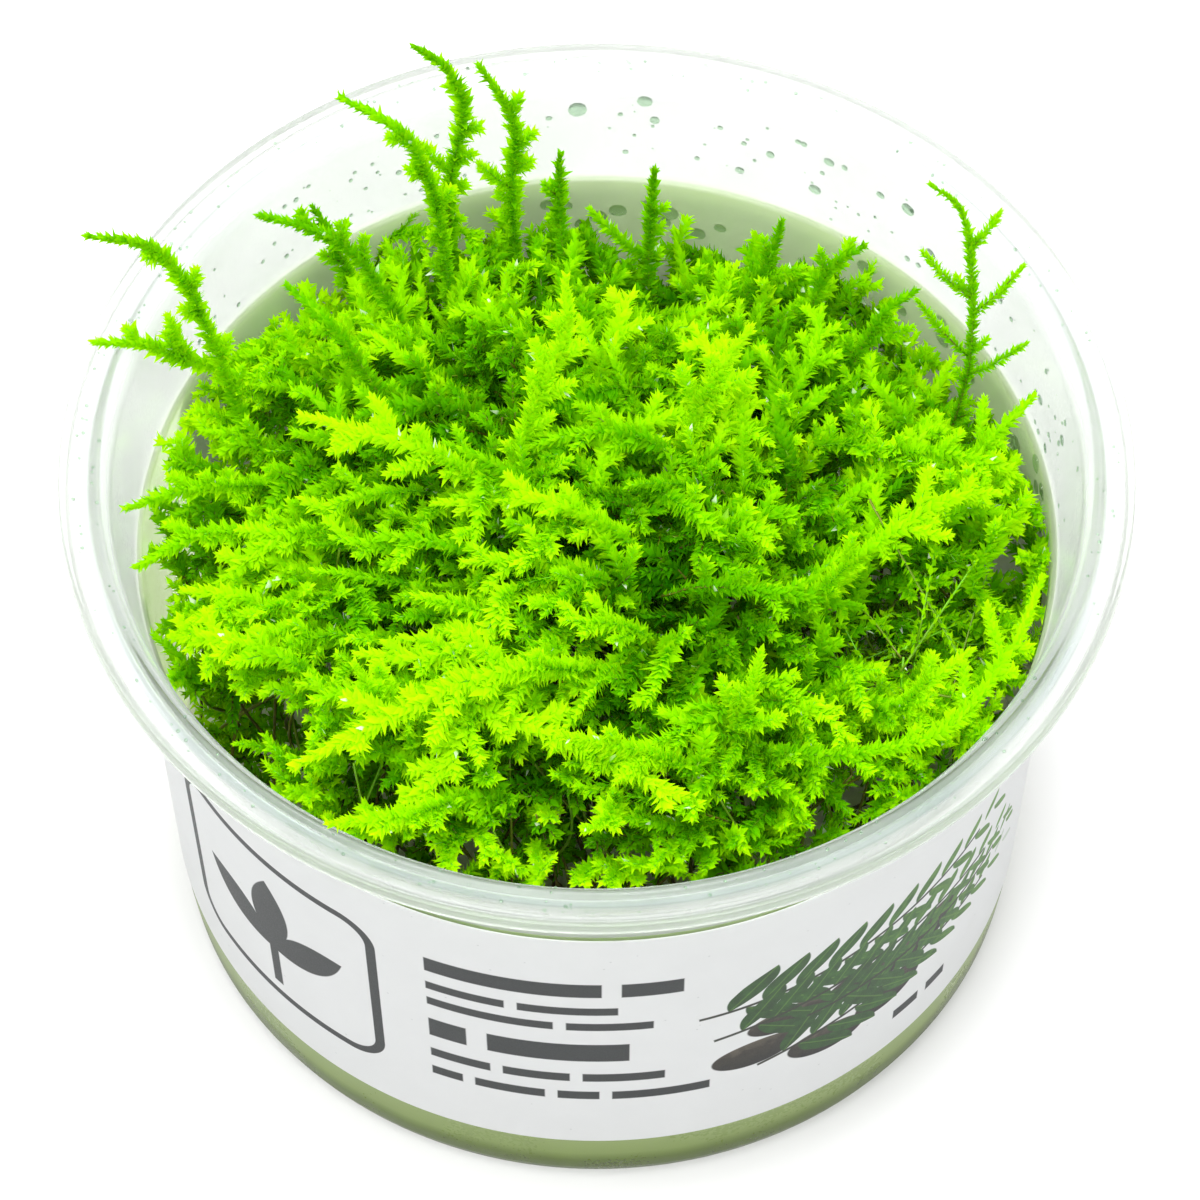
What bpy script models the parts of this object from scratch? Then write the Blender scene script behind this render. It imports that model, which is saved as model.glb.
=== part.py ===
"""Tissue-cultured Christmas moss: an open plastic cup with its label, growing gel and moss.

Every length below is in millimetres and every angle in degrees. The origin is the centre of the
flat base, +Z is up and the side that faces the viewer is -Y.
"""
import math

import bmesh
import bpy
from mathutils import Matrix, Vector, noise

MM = 0.001
WELD = 0.00001
GAP = 0.3

# The cup
CUP_HEIGHT = 60.0
FLANGE_RADIUS = 50.0
SKIRT_HEIGHT = 1.9
FLANGE_THICKNESS = 0.9
BEAD_RADIUS = 46.6
LIP_TOP_RADIUS = 45.2
LIP_DROP = 2.2
STEP_RADIUS = 44.0
STEP_DROP = 12.0
STEP_WIDTH = 0.5
FOOT_RADIUS = 40.3
CORNER_RADIUS = 4.0
WALL = 0.9
FLOOR = 1.0
CORNER_POINTS = 4
ROUND_STEPS = 56
STEP_RAMP = 0.3
BEAD_GROOVE = 0.45
RIM_RISE = 1.6
SKIRT_WIDTH = 0.8

# The label
LABEL_LOW = 7.7
LABEL_HIGH = 46.9
LABEL_THICKNESS = 0.2
LABEL_START = 186.0
LABEL_SWEEP = 332.0
LABEL_STEPS = 52

# The gel
GEL_TOP = 12.0
GEL_MENISCUS = 1.0
GEL_MENISCUS_WIDTH = 2.5
GEL_MENISCUS_DEPTH = 2.0
GEL_STEPS = 48

# The moss mat
MAT_LOW = 13.6
MAT_RADIUS = 41.8
MAT_WALL_GAP = 0.9
MAT_SIDE_HEIGHTS = (42.0, 28.0, MAT_LOW)
MAT_WALL_HEIGHT = 52.0
MAT_DOME = 10.0
MAT_LEAN = (-0.02, -0.14)
MAT_EDGE = 0.8
MAT_EDGE_DROP = 2.5
MAT_RINGS = 17
MAT_STEPS = 52
LUMPS = ((10.0, 3.6), (5.4, 1.8))
# Hollows and mounds in the mat: place, radius and depth or rise
HOLLOWS = (((30.0, -13.0), 8.5, 11.0), ((-38.5, -3.0), 6.0, 8.0), ((23.0, 4.0), 6.0, 5.0),
           ((12.0, -19.0), 6.5, 6.5), ((8.0, 37.0), 10.0, 5.0), ((-13.0, 11.0), 5.5, 4.5),
           ((1.0, -13.0), 5.5, 4.0), ((30.0, 15.0), 6.5, 5.0))
MOUNDS = (((-33.0, -21.0), 11.0, 4.0), ((0.0, -39.0), 13.0, 3.6), ((26.0, -32.0), 9.0, 3.0),
          ((39.0, 3.0), 7.0, 3.0), ((-36.0, 14.0), 8.0, 3.0))

# The long shoots
SHOOT_POINTS = 8
SHOOT_WIDEST = 0.3
FOOT_DEPTH = 2.0
SHOOT_SIDES_LEVEL = 1
SHOOT_ROOT_RADIUS = 0.55
SHOOT_RADIUS = 1.05
SHOOT_TIP_RADIUS = 0.3
TWIG_POINTS = 3
TWIG_ROOT_RADIUS = 0.6
TWIG_TIP_RADIUS = 0.35
TWIG_ANGLE = 52.0
TWIG_BEND = 0.2
TWIG_UP = (0.0, -0.55, 0.83)
SHARP_ANGLE = 35.0

# Each shoot: where its foot stands on the mat, its route from there to the tip, and its twigs
# as (place along it, side, length)
SHOOTS = {
    "shoot_left_over_flange": ((-33, 10), ((-36, 14, 61), (-38, 15, 68), (-41.5, 16, 73), (-47, 15, 76)), ()),
    "shoot_left_low": ((-32, 17), ((-37, 15, 56), (-42, 14, 60.5), (-46.5, 13.5, 61.5)), ((0.5, 1, 4),)),
    "shoot_left_wall_a": ((-31, 3), ((-37, 0, 57), (-43.5, -3, 58)), ()),
    "shoot_left_wall_b": ((-31, -4), ((-37, -6, 58), (-42.5, -9.5, 58)), ()),
    "shoot_left_front": ((-28, -16), ((-33, -15, 61), (-38, -14, 60.5)), ((0.6, -1, 4),)),
    "shoot_back_left_a": ((-18, 21), ((-22, 24, 60), (-26.5, 25, 63.5), (-31.5, 26, 64.5)), ()),
    "shoot_back_left_b": ((-23, 30), ((-25, 31.5, 53), (-27, 32.5, 57)), ()),
    "shoot_back_left_c": ((-19, 10), ((-24, 14, 62), (-29, 19, 63)), ()),
    "shoot_back_over_flange_a": ((-14, 27), ((-15, 29, 60), (-16, 29.5, 66), (-18.5, 31, 71), (-24, 34, 72)),
                                 ()),
    "shoot_back_over_flange_b": ((-14, 34), ((-14, 35.5, 56), (-12.5, 36.5, 67), (-14, 37.5, 72),
                                             (-17, 37.5, 75.5)), ((0.3, -1, 4),)),
    "shoot_back_over_flange_c": ((-8, 35), ((-8, 36, 57), (-8, 37, 65), (-11, 39, 70.5)), ((0.3, -1, 4),)),
    "shoot_back_a": ((-3, 32), ((-3.5, 34, 53), (-3.5, 36, 60.5)), ()),
    "shoot_back_b": ((5, 33), ((5, 35, 51), (5.5, 36.5, 57.5)), ((0.3, -1, 7),)),
    "shoot_back_right_a": ((14, 28), ((16.5, 30, 53), (17.5, 31.5, 56)), ((0.5, 1, 4),)),
    "shoot_back_right_b": ((20, 24), ((22, 26, 56), (25, 27, 58)), ()),
    "shoot_back_right_c": ((24, 18), ((27, 20, 57), (30, 22, 58)), ((0.5, 1, 4),)),
    "shoot_right_feather": ((33, 13), ((35, 15.5, 56), (35, 20, 64.5), (34, 23, 69.5), (31, 23.5, 73)),
                            ((0.25, 1, 6), (0.32, -1, 7), (0.48, 1, 6), (0.52, -1, 6), (0.7, 1, 4))),
    "shoot_right_wall": ((33, 3), ((37, 6, 57), (40.5, 9, 59)), ((0.5, -1, 4),)),
    "shoot_centre": ((-8, -1), ((-6, 2.5, 66), (-3, 6.5, 72), (-3, 9.5, 76.5)), ((0.4, 1, 3), (0.5, -1, 3))),
    "shoot_centre_left": ((-9, -3), ((-13, -2.5, 64.5), (-18, -1.5, 66.5), (-27, 1.5, 66.5)),
                          ((0.4, -1, 4), (0.55, 1, 4), (0.7, -1, 3))),
    "shoot_centre_right": ((8, 4), ((11, 7, 65), (14, 10, 68.5)), ((0.4, -1, 4), (0.55, 1, 4))),
    "shoot_front_long": ((2, -22), ((-5, -27, 67), (-13, -29.5, 68), (-27, -35, 63.5)),
                         ((0.35, 1, 5), (0.5, -1, 5), (0.7, 1, 4))),
    "shoot_front_middle": ((8, -34), ((4, -35, 65.5), (-3, -35.5, 68.5)), ((0.4, -1, 4),)),
    "shoot_front_left": ((-18, -25), ((-20, -29, 65), (-22, -28, 69)), ((0.5, 1, 4),)),
    "shoot_front_over_rim": ((-13, -36), ((-17, -39.5, 62), (-24, -41.5, 63.5)), ()),
    "shoot_front_right": ((11, -30), ((13, -30, 63), (15, -26.5, 69)), ((0.45, 1, 4), (0.5, -1, 4))),
    "shoot_front_right_arch": ((17, -31), ((24, -32.5, 61.5), (32, -30, 62), (38, -21, 62), (41, -12, 60)),
                               ((0.45, -1, 4), (0.65, -1, 5))),
    "shoot_right_arch": ((19, -13), ((25, -11, 63), (32, -6, 63.5), (37, -3, 61)),
                         ((0.5, 1, 4), (0.6, -1, 4))),
    "shoot_front_tuft": ((2, -37), ((1, -40.5, 63), (-1, -42.5, 64.5)), ()),
    "shoot_right_front_tuft": ((27, -24), ((30, -24, 60), (34, -21, 61)), ()),
}


# Blender helpers

def clear_scene():
    for thing in list(bpy.data.objects):
        bpy.data.objects.remove(thing, do_unlink=True)


def collection(name):
    made = bpy.data.collections.new(name)
    bpy.context.scene.collection.children.link(made)
    return made


def material(name, colour, roughness):
    made = bpy.data.materials.new(name)
    made.use_nodes = True
    shader = made.node_tree.nodes["Principled BSDF"]
    shader.inputs["Base Color"].default_value = (*colour, 1.0)
    shader.inputs["Roughness"].default_value = roughness
    shader.inputs["Metallic"].default_value = 0.0
    return made


def baked(thing):
    """Turn an object with modifiers, or a curve, into a plain closed mesh object of the same name."""
    graph = bpy.context.evaluated_depsgraph_get()
    mesh = bpy.data.meshes.new_from_object(thing.evaluated_get(graph))
    name, place, homes = thing.name, thing.matrix_world.copy(), list(thing.users_collection)
    bpy.data.objects.remove(thing, do_unlink=True)
    shape = bmesh.new()
    shape.from_mesh(mesh)
    bmesh.ops.remove_doubles(shape, verts=shape.verts, dist=WELD)
    rims = [edge for edge in shape.edges if edge.is_boundary]
    if rims:
        bmesh.ops.holes_fill(shape, edges=rims)
    bmesh.ops.recalc_face_normals(shape, faces=shape.faces)
    shape.to_mesh(mesh)
    shape.free()
    solid = bpy.data.objects.new(name, mesh)
    solid.matrix_world = place
    for home in homes:
        home.objects.link(solid)
    return solid


def turned(name, profile, steps, home, sweep=360.0, closed=False):
    """Turn a profile of (radius, height) points about the Z axis."""
    mesh = bpy.data.meshes.new(name)
    points = [(radius * MM, 0.0, height * MM) for radius, height in profile]
    edges = [(at, at + 1) for at in range(len(points) - 1)]
    if closed:
        edges.append((len(points) - 1, 0))
    mesh.from_pydata(points, edges, [])
    thing = bpy.data.objects.new(name, mesh)
    home.objects.link(thing)
    screw = thing.modifiers.new("turn", "SCREW")
    screw.axis = "Z"
    screw.angle = math.radians(sweep)
    screw.steps = screw.render_steps = steps
    screw.use_merge_vertices = True
    screw.merge_threshold = WELD
    bpy.context.view_layer.update()
    return baked(thing)


def finish(solid, look):
    solid.data.materials.clear()
    solid.data.materials.append(look)
    solid.data.shade_smooth()
    solid.data.set_sharp_from_angle(angle=math.radians(SHARP_ANGLE))
    return solid


# The cup, its label and the gel

def wall_radius(height):
    """Outer radius of the tapered wall at a height above the base."""
    low, high = CORNER_RADIUS, CUP_HEIGHT - STEP_DROP
    share = (height - low) / (high - low)
    return FOOT_RADIUS + share * (STEP_RADIUS - STEP_WIDTH - FOOT_RADIUS)


def corner(radius, outer, floor, downwards):
    """A rounded bottom corner from the wall to the floor, or back up."""
    arc = []
    for at in range(CORNER_POINTS + 1):
        turn = math.radians(90.0 * at / CORNER_POINTS)
        arc.append((outer - radius + radius * math.cos(turn), floor + radius - radius * math.sin(turn)))
    return arc if downwards else arc[::-1]


def cup_profile():
    """Inside floor, up the inside, over the flange and down the outside to the base."""
    top, step = CUP_HEIGHT, CUP_HEIGHT - STEP_DROP
    inner_corner = CORNER_RADIUS - WALL / 2
    inside = [(0.0, FLOOR)]
    inside += corner(inner_corner, wall_radius(FLOOR + inner_corner) - WALL, FLOOR, False)
    inside += [(STEP_RADIUS - STEP_WIDTH - WALL, step - STEP_RAMP), (STEP_RADIUS - WALL, step + STEP_RAMP),
               (LIP_TOP_RADIUS - 0.1, top - LIP_DROP), (BEAD_RADIUS - 0.5, top - 0.3)]
    flange = [(BEAD_RADIUS, top), (BEAD_RADIUS + 0.8, top - BEAD_GROOVE),
              (FLANGE_RADIUS - RIM_RISE, top - 0.25), (FLANGE_RADIUS - 0.3, top), (FLANGE_RADIUS, top - 0.3)]
    under = [(FLANGE_RADIUS, top - SKIRT_HEIGHT), (FLANGE_RADIUS - SKIRT_WIDTH, top - SKIRT_HEIGHT),
             (FLANGE_RADIUS - SKIRT_WIDTH - 0.1, top - FLANGE_THICKNESS - 0.2),
             (BEAD_RADIUS + 0.1, top - FLANGE_THICKNESS - 0.4),
             (LIP_TOP_RADIUS + WALL - 0.1, top - LIP_DROP - 0.4)]
    outside = [(STEP_RADIUS, step + 0.2), (STEP_RADIUS - STEP_WIDTH, step - 0.4)]
    outside += corner(CORNER_RADIUS, FOOT_RADIUS, 0.0, True)
    return inside + flange + under + outside + [(0.0, 0.0)]


def make_cup(home):
    return turned("cup", cup_profile(), ROUND_STEPS, home)


def make_label(home):
    """A thin band that follows the wall, open at the left."""
    inner = [(wall_radius(height) + GAP, height) for height in (LABEL_LOW, LABEL_HIGH)]
    outer = [(radius + LABEL_THICKNESS, height) for radius, height in reversed(inner)]
    band = turned("label", inner + outer, LABEL_STEPS, home, LABEL_SWEEP, closed=True)
    band.data.transform(Matrix.Rotation(math.radians(LABEL_START), 4, "Z"))
    return band


def make_gel(home):
    """A jelly disc that fills the foot of the cup, drawn up a little at the wall."""
    inner_corner = CORNER_RADIUS - WALL / 2
    wall = WALL + GAP
    rim = GEL_TOP + GEL_MENISCUS
    low = GEL_TOP - GEL_MENISCUS_DEPTH
    profile = [(0.0, GEL_TOP), (wall_radius(GEL_TOP) - wall - GEL_MENISCUS_WIDTH, GEL_TOP),
               (wall_radius(rim) - wall, rim), (wall_radius(low) - wall, low)]
    profile += corner(inner_corner, wall_radius(FLOOR + inner_corner) - wall, FLOOR + GAP, True)
    profile.append((0.0, FLOOR + GAP))
    return turned("gel", profile, GEL_STEPS, home)


# The moss mat

def mat_height(x, y):
    """Height of the mat's leafy top: a low dome that leans to the front, with lumps and hollows."""
    reach = math.hypot(x, y) / MAT_RADIUS
    height = MAT_WALL_HEIGHT + MAT_DOME * (1.0 - reach * reach) + MAT_LEAN[0] * x + MAT_LEAN[1] * y
    height -= MAT_EDGE_DROP * max(0.0, (reach - MAT_EDGE) / (1.0 - MAT_EDGE)) ** 2
    for size, rise in LUMPS:
        height += rise * noise.noise(Vector((x / size, y / size, size)))
    for places, sign in ((HOLLOWS, -1.0), (MOUNDS, 1.0)):
        for (at_x, at_y), radius, depth in places:
            away = math.hypot(x - at_x, y - at_y) / radius
            height += sign * depth * math.exp(-away * away)
    return height


def mat_solid(name, home, grow):
    """The mat as a turned cushion whose top is then pushed up and down; grow swells it all round."""
    reach = MAT_RADIUS + grow
    top = [(reach * at / MAT_RINGS, CUP_HEIGHT) for at in range(MAT_RINGS + 1)]
    side = [(wall_radius(height) - WALL - MAT_WALL_GAP + grow, height) for height in MAT_SIDE_HEIGHTS]
    solid = turned(name, top + side + [(0.0, MAT_LOW)], MAT_STEPS, home)
    for vertex in solid.data.vertices:
        x, y, z = (value / MM for value in vertex.co)
        if z > MAT_WALL_HEIGHT:
            vertex.co.z = (mat_height(x, y) + grow) * MM
    return solid


# The long shoots

def smooth_route(points, count):
    """Evenly numbered points along a smooth curve through the given ones."""
    knots = [Vector(point) for point in points]
    knots = [2 * knots[0] - knots[1]] + knots + [2 * knots[-1] - knots[-2]]
    spans = len(points) - 1
    route = []
    for at in range(count):
        place = min(at / (count - 1) * spans, spans - 1e-6)
        first, t = int(place), place - int(place)
        a, b, c, d = knots[first:first + 4]
        route.append(0.5 * (2 * b + (c - a) * t + (2 * a - 5 * b + 4 * c - d) * t * t
                            + (3 * b - a - 3 * c + d) * t ** 3))
    return route


def tube(name, route, radii, sides_level, home):
    """A tapering tube with closed ends along a route."""
    curve = bpy.data.curves.new(name, "CURVE")
    curve.dimensions = "3D"
    curve.bevel_depth = MM
    curve.bevel_resolution = sides_level
    curve.use_fill_caps = True
    spline = curve.splines.new("POLY")
    spline.points.add(len(route) - 1)
    for point, place, radius in zip(spline.points, route, radii):
        point.co = (*(place * MM), 1.0)
        point.radius = radius
    thing = bpy.data.objects.new(name, curve)
    home.objects.link(thing)
    bpy.context.view_layer.update()
    return baked(thing)


def shoot_radii(count):
    """Slim at the foot, widest at a third of the way, pointed at the tip."""
    radii = []
    for at in range(count):
        share = at / (count - 1)
        if share < SHOOT_WIDEST:
            radii.append(SHOOT_ROOT_RADIUS + (SHOOT_RADIUS - SHOOT_ROOT_RADIUS) * share / SHOOT_WIDEST)
        else:
            gone = (share - SHOOT_WIDEST) / (1.0 - SHOOT_WIDEST)
            radii.append(SHOOT_RADIUS + (SHOOT_TIP_RADIUS - SHOOT_RADIUS) * gone ** 2)
    return radii


def twig_route(route, share, side, length):
    """A side twig that leaves its shoot at an angle, in the plane that looks most upwards."""
    at = min(int(share * (len(route) - 1)), len(route) - 2)
    along = (route[at + 1] - route[at]).normalized()
    across = along.cross(Vector(TWIG_UP)).normalized() * side
    lean = math.radians(TWIG_ANGLE)
    course = along * math.cos(lean) + across * math.sin(lean)
    foot = route[at].lerp(route[at + 1], share * (len(route) - 1) - at)
    points = []
    for step in range(TWIG_POINTS):
        gone = step / (TWIG_POINTS - 1)
        points.append(foot + course * length * gone + along * length * TWIG_BEND * gone * gone)
    return points


def boolean(solid, other, operation):
    """Cut or join a second solid, then drop it."""
    step = solid.modifiers.new(operation, "BOOLEAN")
    step.operation = operation
    step.solver = "EXACT"
    step.object = other
    bpy.context.view_layer.update()
    return baked(solid)


def make_shoot(name, foot, points, twigs, envelope, home):
    """A long shoot with its twigs, ending a hair above the mat that it grows out of."""
    root = (*foot, mat_height(*foot) - FOOT_DEPTH)
    route = smooth_route((root, *points), SHOOT_POINTS)
    solid = tube(name, route, shoot_radii(SHOOT_POINTS), SHOOT_SIDES_LEVEL, home)
    for number, (share, side, length) in enumerate(twigs):
        path = twig_route(route, share, side, length)
        radii = [TWIG_ROOT_RADIUS + (TWIG_TIP_RADIUS - TWIG_ROOT_RADIUS) * at / (TWIG_POINTS - 1)
                 for at in range(TWIG_POINTS)]
        twig = tube(f"{name}_twig_{number}", path, radii, 0, home)
        solid = boolean(solid, twig, "UNION")
        bpy.data.objects.remove(twig, do_unlink=True)
    return boolean(solid, envelope, "DIFFERENCE")


def main():
    clear_scene()
    model = collection("christmas_moss_cup")
    cutters = collection("cutters")
    plastic = material("clear plastic", (0.86, 0.90, 0.88), 0.25)
    paper = material("white label", (0.88, 0.89, 0.90), 0.45)
    jelly = material("growing gel", (0.62, 0.70, 0.48), 0.2)
    dark_moss = material("moss mat", (0.10, 0.36, 0.02), 0.6)
    bright_moss = material("moss shoots", (0.28, 0.68, 0.02), 0.5)
    finish(make_cup(model), plastic)
    finish(make_label(model), paper)
    finish(make_gel(model), jelly)
    finish(mat_solid("moss_mat", model, 0.0), dark_moss)
    envelope = mat_solid("mat_envelope", cutters, GAP)
    envelope.hide_render = True
    envelope.display_type = "WIRE"
    for name, (foot, points, twigs) in SHOOTS.items():
        finish(make_shoot(name, foot, points, twigs, envelope, model), bright_moss)


main()
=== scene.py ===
"""Looks for the tissue-cultured Christmas moss: its cup, label, gel, leafy moss and water drops.

Lengths in the tables below are millimetres and angles are degrees, as in the solids.
"""
import functools
import math

import bpy
import numpy as np
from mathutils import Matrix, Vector, noise


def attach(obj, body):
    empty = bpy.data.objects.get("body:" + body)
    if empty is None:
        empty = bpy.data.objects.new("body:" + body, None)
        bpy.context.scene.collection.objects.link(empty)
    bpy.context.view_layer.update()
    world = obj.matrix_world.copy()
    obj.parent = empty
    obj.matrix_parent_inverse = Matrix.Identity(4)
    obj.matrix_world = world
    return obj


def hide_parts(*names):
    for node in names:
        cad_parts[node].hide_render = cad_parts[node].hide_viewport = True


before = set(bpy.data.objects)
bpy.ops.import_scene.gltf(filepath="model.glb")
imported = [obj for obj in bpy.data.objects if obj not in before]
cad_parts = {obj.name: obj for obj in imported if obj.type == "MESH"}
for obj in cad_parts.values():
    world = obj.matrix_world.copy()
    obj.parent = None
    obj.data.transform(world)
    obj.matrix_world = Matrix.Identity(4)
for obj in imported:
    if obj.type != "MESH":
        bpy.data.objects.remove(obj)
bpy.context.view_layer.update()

MM = 0.001
SHARP_ANGLE = math.radians(50.0)
ROUNDING = 0.3

# The cup, as in the solids
CUP_HEIGHT = 60.0
FLANGE_RADIUS = 50.0
SKIRT_HEIGHT = 1.9
FLANGE_THICKNESS = 0.9
BEAD_RADIUS = 46.6
LIP_TOP_RADIUS = 45.2
LIP_DROP = 2.2
STEP_RADIUS = 44.0
STEP_DROP = 12.0
STEP_WIDTH = 0.5
FOOT_RADIUS = 40.3
CORNER_RADIUS = 4.0
WALL = 0.9
FLOOR = 1.0
RECESS_RADIUS = 36.4
RECESS_DEPTH = 0.5

# The label and the gel
LABEL_LOW = 7.7
LABEL_HIGH = 46.9
LABEL_START = 186.0
LABEL_SWEEP = 332.0
LABEL_INSIDE, LABEL_OUTSIDE = 0.06, 0.2
LABEL_COLUMNS, LABEL_ROWS = 300, 10
LABEL_ENDS = (0.0, 0.15, 0.4, 0.8, 1.3, 1.9, 2.5)
GEL_TOP = 12.0
GEL_GAP = 0.02
GEL_MENISCUS = 1.0

# The moss mat
MAT_RADIUS = 41.8
MAT_WALL_HEIGHT = 52.0
MAT_DOME = 10.0
MAT_LEAN = (-0.02, -0.14)
MAT_EDGE = 0.8
MAT_EDGE_DROP = 2.5
LUMPS = ((10.0, 3.6), (5.4, 1.8))
HOLLOWS = (((30.0, -13.0), 8.5, 11.0), ((-38.5, -3.0), 6.0, 8.0), ((23.0, 4.0), 6.0, 5.0),
           ((12.0, -19.0), 6.5, 6.5), ((8.0, 37.0), 10.0, 5.0), ((-13.0, 11.0), 5.5, 4.5),
           ((1.0, -13.0), 5.5, 4.0), ((30.0, 15.0), 6.5, 5.0))
MOUNDS = (((-33.0, -21.0), 11.0, 4.0), ((0.0, -39.0), 13.0, 3.6), ((26.0, -32.0), 9.0, 3.0),
          ((39.0, 3.0), 7.0, 3.0), ((-36.0, 14.0), 8.0, 3.0))

# Each long shoot: its foot on the mat, its route to the tip, and its twigs as (place, side, length)
SHOOTS = {
    "shoot_left_over_flange": ((-33, 10), ((-36, 14, 61), (-38, 15, 68), (-41.5, 16, 73), (-47, 15, 76)), ()),
    "shoot_left_low": ((-32, 17), ((-37, 15, 56), (-42, 14, 60.5), (-46.5, 13.5, 61.5)), ((0.5, 1, 4),)),
    "shoot_left_wall_a": ((-31, 3), ((-37, 0, 57), (-43.5, -3, 58)), ()),
    "shoot_left_wall_b": ((-31, -4), ((-37, -6, 58), (-42.5, -9.5, 58)), ()),
    "shoot_left_front": ((-28, -16), ((-33, -15, 61), (-38, -14, 60.5)), ((0.6, -1, 4),)),
    "shoot_back_left_a": ((-18, 21), ((-22, 24, 60), (-26.5, 25, 63.5), (-31.5, 26, 64.5)), ()),
    "shoot_back_left_b": ((-23, 30), ((-25, 31.5, 53), (-27, 32.5, 57)), ()),
    "shoot_back_left_c": ((-19, 10), ((-24, 14, 62), (-29, 19, 63)), ()),
    "shoot_back_over_flange_a": ((-14, 27), ((-15, 29, 60), (-16, 29.5, 66), (-18.5, 31, 71), (-24, 34, 72)),
                                 ()),
    "shoot_back_over_flange_b": ((-14, 34), ((-14, 35.5, 56), (-12.5, 36.5, 67), (-14, 37.5, 72),
                                             (-17, 37.5, 75.5)), ((0.3, -1, 4),)),
    "shoot_back_over_flange_c": ((-8, 35), ((-8, 36, 57), (-8, 37, 65), (-11, 39, 70.5)), ((0.3, -1, 4),)),
    "shoot_back_a": ((-3, 32), ((-3.5, 34, 53), (-3.5, 36, 60.5)), ()),
    "shoot_back_b": ((5, 33), ((5, 35, 51), (5.5, 36.5, 57.5)), ((0.3, -1, 7),)),
    "shoot_back_right_a": ((14, 28), ((16.5, 30, 53), (17.5, 31.5, 56)), ((0.5, 1, 4),)),
    "shoot_back_right_b": ((20, 24), ((22, 26, 56), (25, 27, 58)), ()),
    "shoot_back_right_c": ((24, 18), ((27, 20, 57), (30, 22, 58)), ((0.5, 1, 4),)),
    "shoot_right_feather": ((33, 13), ((35, 15.5, 56), (35, 20, 64.5), (34, 23, 69.5), (31, 23.5, 73)),
                            ((0.25, 1, 6), (0.32, -1, 7), (0.48, 1, 6), (0.52, -1, 6), (0.7, 1, 4))),
    "shoot_right_wall": ((33, 3), ((37, 6, 57), (40.5, 9, 59)), ((0.5, -1, 4),)),
    "shoot_centre": ((-8, -1), ((-6, 2.5, 66), (-3, 6.5, 72), (-3, 9.5, 76.5)), ((0.4, 1, 3), (0.5, -1, 3))),
    "shoot_centre_left": ((-9, -3), ((-13, -2.5, 64.5), (-18, -1.5, 66.5), (-27, 1.5, 66.5)),
                          ((0.4, -1, 4), (0.55, 1, 4), (0.7, -1, 3))),
    "shoot_centre_right": ((8, 4), ((11, 7, 65), (14, 10, 68.5)), ((0.4, -1, 4), (0.55, 1, 4))),
    "shoot_front_long": ((2, -22), ((-5, -27, 67), (-13, -29.5, 68), (-27, -35, 63.5)),
                         ((0.35, 1, 5), (0.5, -1, 5), (0.7, 1, 4))),
    "shoot_front_middle": ((8, -34), ((4, -35, 65.5), (-3, -35.5, 68.5)), ((0.4, -1, 4),)),
    "shoot_front_left": ((-18, -25), ((-20, -29, 65), (-22, -28, 69)), ((0.5, 1, 4),)),
    "shoot_front_over_rim": ((-13, -36), ((-17, -39.5, 62), (-24, -41.5, 63.5)), ()),
    "shoot_front_right": ((11, -30), ((13, -30, 63), (15, -26.5, 69)), ((0.45, 1, 4), (0.5, -1, 4))),
    "shoot_front_right_arch": ((17, -31), ((24, -32.5, 61.5), (32, -30, 62), (38, -21, 62), (41, -12, 60)),
                               ((0.45, -1, 4), (0.65, -1, 5))),
    "shoot_right_arch": ((19, -13), ((25, -11, 63), (32, -6, 63.5), (37, -3, 61)),
                         ((0.5, 1, 4), (0.6, -1, 4))),
    "shoot_front_tuft": ((2, -37), ((1, -40.5, 63), (-1, -42.5, 64.5)), ()),
    "shoot_right_front_tuft": ((27, -24), ((30, -24, 60), (34, -21, 61)), ()),
}

# Leaves: lengths and spacings in millimetres along a stem
GOLDEN_TURN = math.radians(137.5)
LEAF_SHAPE = 0.44
SPREAD = (50.0, 30.0)
TIP_SIZE = 0.62
LEAF_CLEARANCE = 0.12
FLANGE_CLEARANCE = 0.15
LEAF_FACES = np.array(((0, 2, 3), (0, 3, 1)))
STEM_ASIDE = (0.31, 0.52, 0.79)


# Shader helpers

class Num:
    """A number in a node tree that Python arithmetic can be done with."""

    def __init__(self, tree, value):
        self.tree, self.value = tree, value

    def op(self, kind, *others):
        made = node(self.tree, "ShaderNodeMath", enumerate((self, *others)), operation=kind)
        return Num(self.tree, made.outputs[0])

    def __add__(self, other): return self.op("ADD", other)
    def __sub__(self, other): return self.op("SUBTRACT", other)
    def __mul__(self, other): return self.op("MULTIPLY", other)
    def __truediv__(self, other): return self.op("DIVIDE", other)
    def __neg__(self): return self.op("MULTIPLY", -1.0)
    def abs(self): return self.op("ABSOLUTE")
    def floor(self): return self.op("FLOOR")
    def sign(self): return self.op("SIGN")
    def max(self, other): return self.op("MAXIMUM", other)
    def min(self, other): return self.op("MINIMUM", other)
    def length(self, other): return (self * self + other * other).op("SQRT")

    def ramp(self, low, high, to_low=0.0, to_high=1.0):
        """The number's place from low to high, carried over to the way from to_low to to_high."""
        made = node(self.tree, "ShaderNodeMapRange", enumerate((self, low, high, to_low, to_high)))
        return Num(self.tree, made.outputs[0])


def new_material(name):
    made = bpy.data.materials.new(name)
    made.use_nodes = True
    tree = made.node_tree
    tree.nodes.clear()
    return made, tree, tree.nodes.new("ShaderNodeOutputMaterial").inputs["Surface"]


def plug(tree, socket, value):
    """Link a socket to a number, node or socket, or give it a plain value; colours are (r, g, b)."""
    value = value.value if isinstance(value, Num) else value
    value = value.outputs[0] if isinstance(value, bpy.types.Node) else value
    if isinstance(value, bpy.types.NodeSocket):
        tree.links.new(value, socket)
    else:
        socket.default_value = (*value, 1.0) if socket.type == "RGBA" else value


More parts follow.
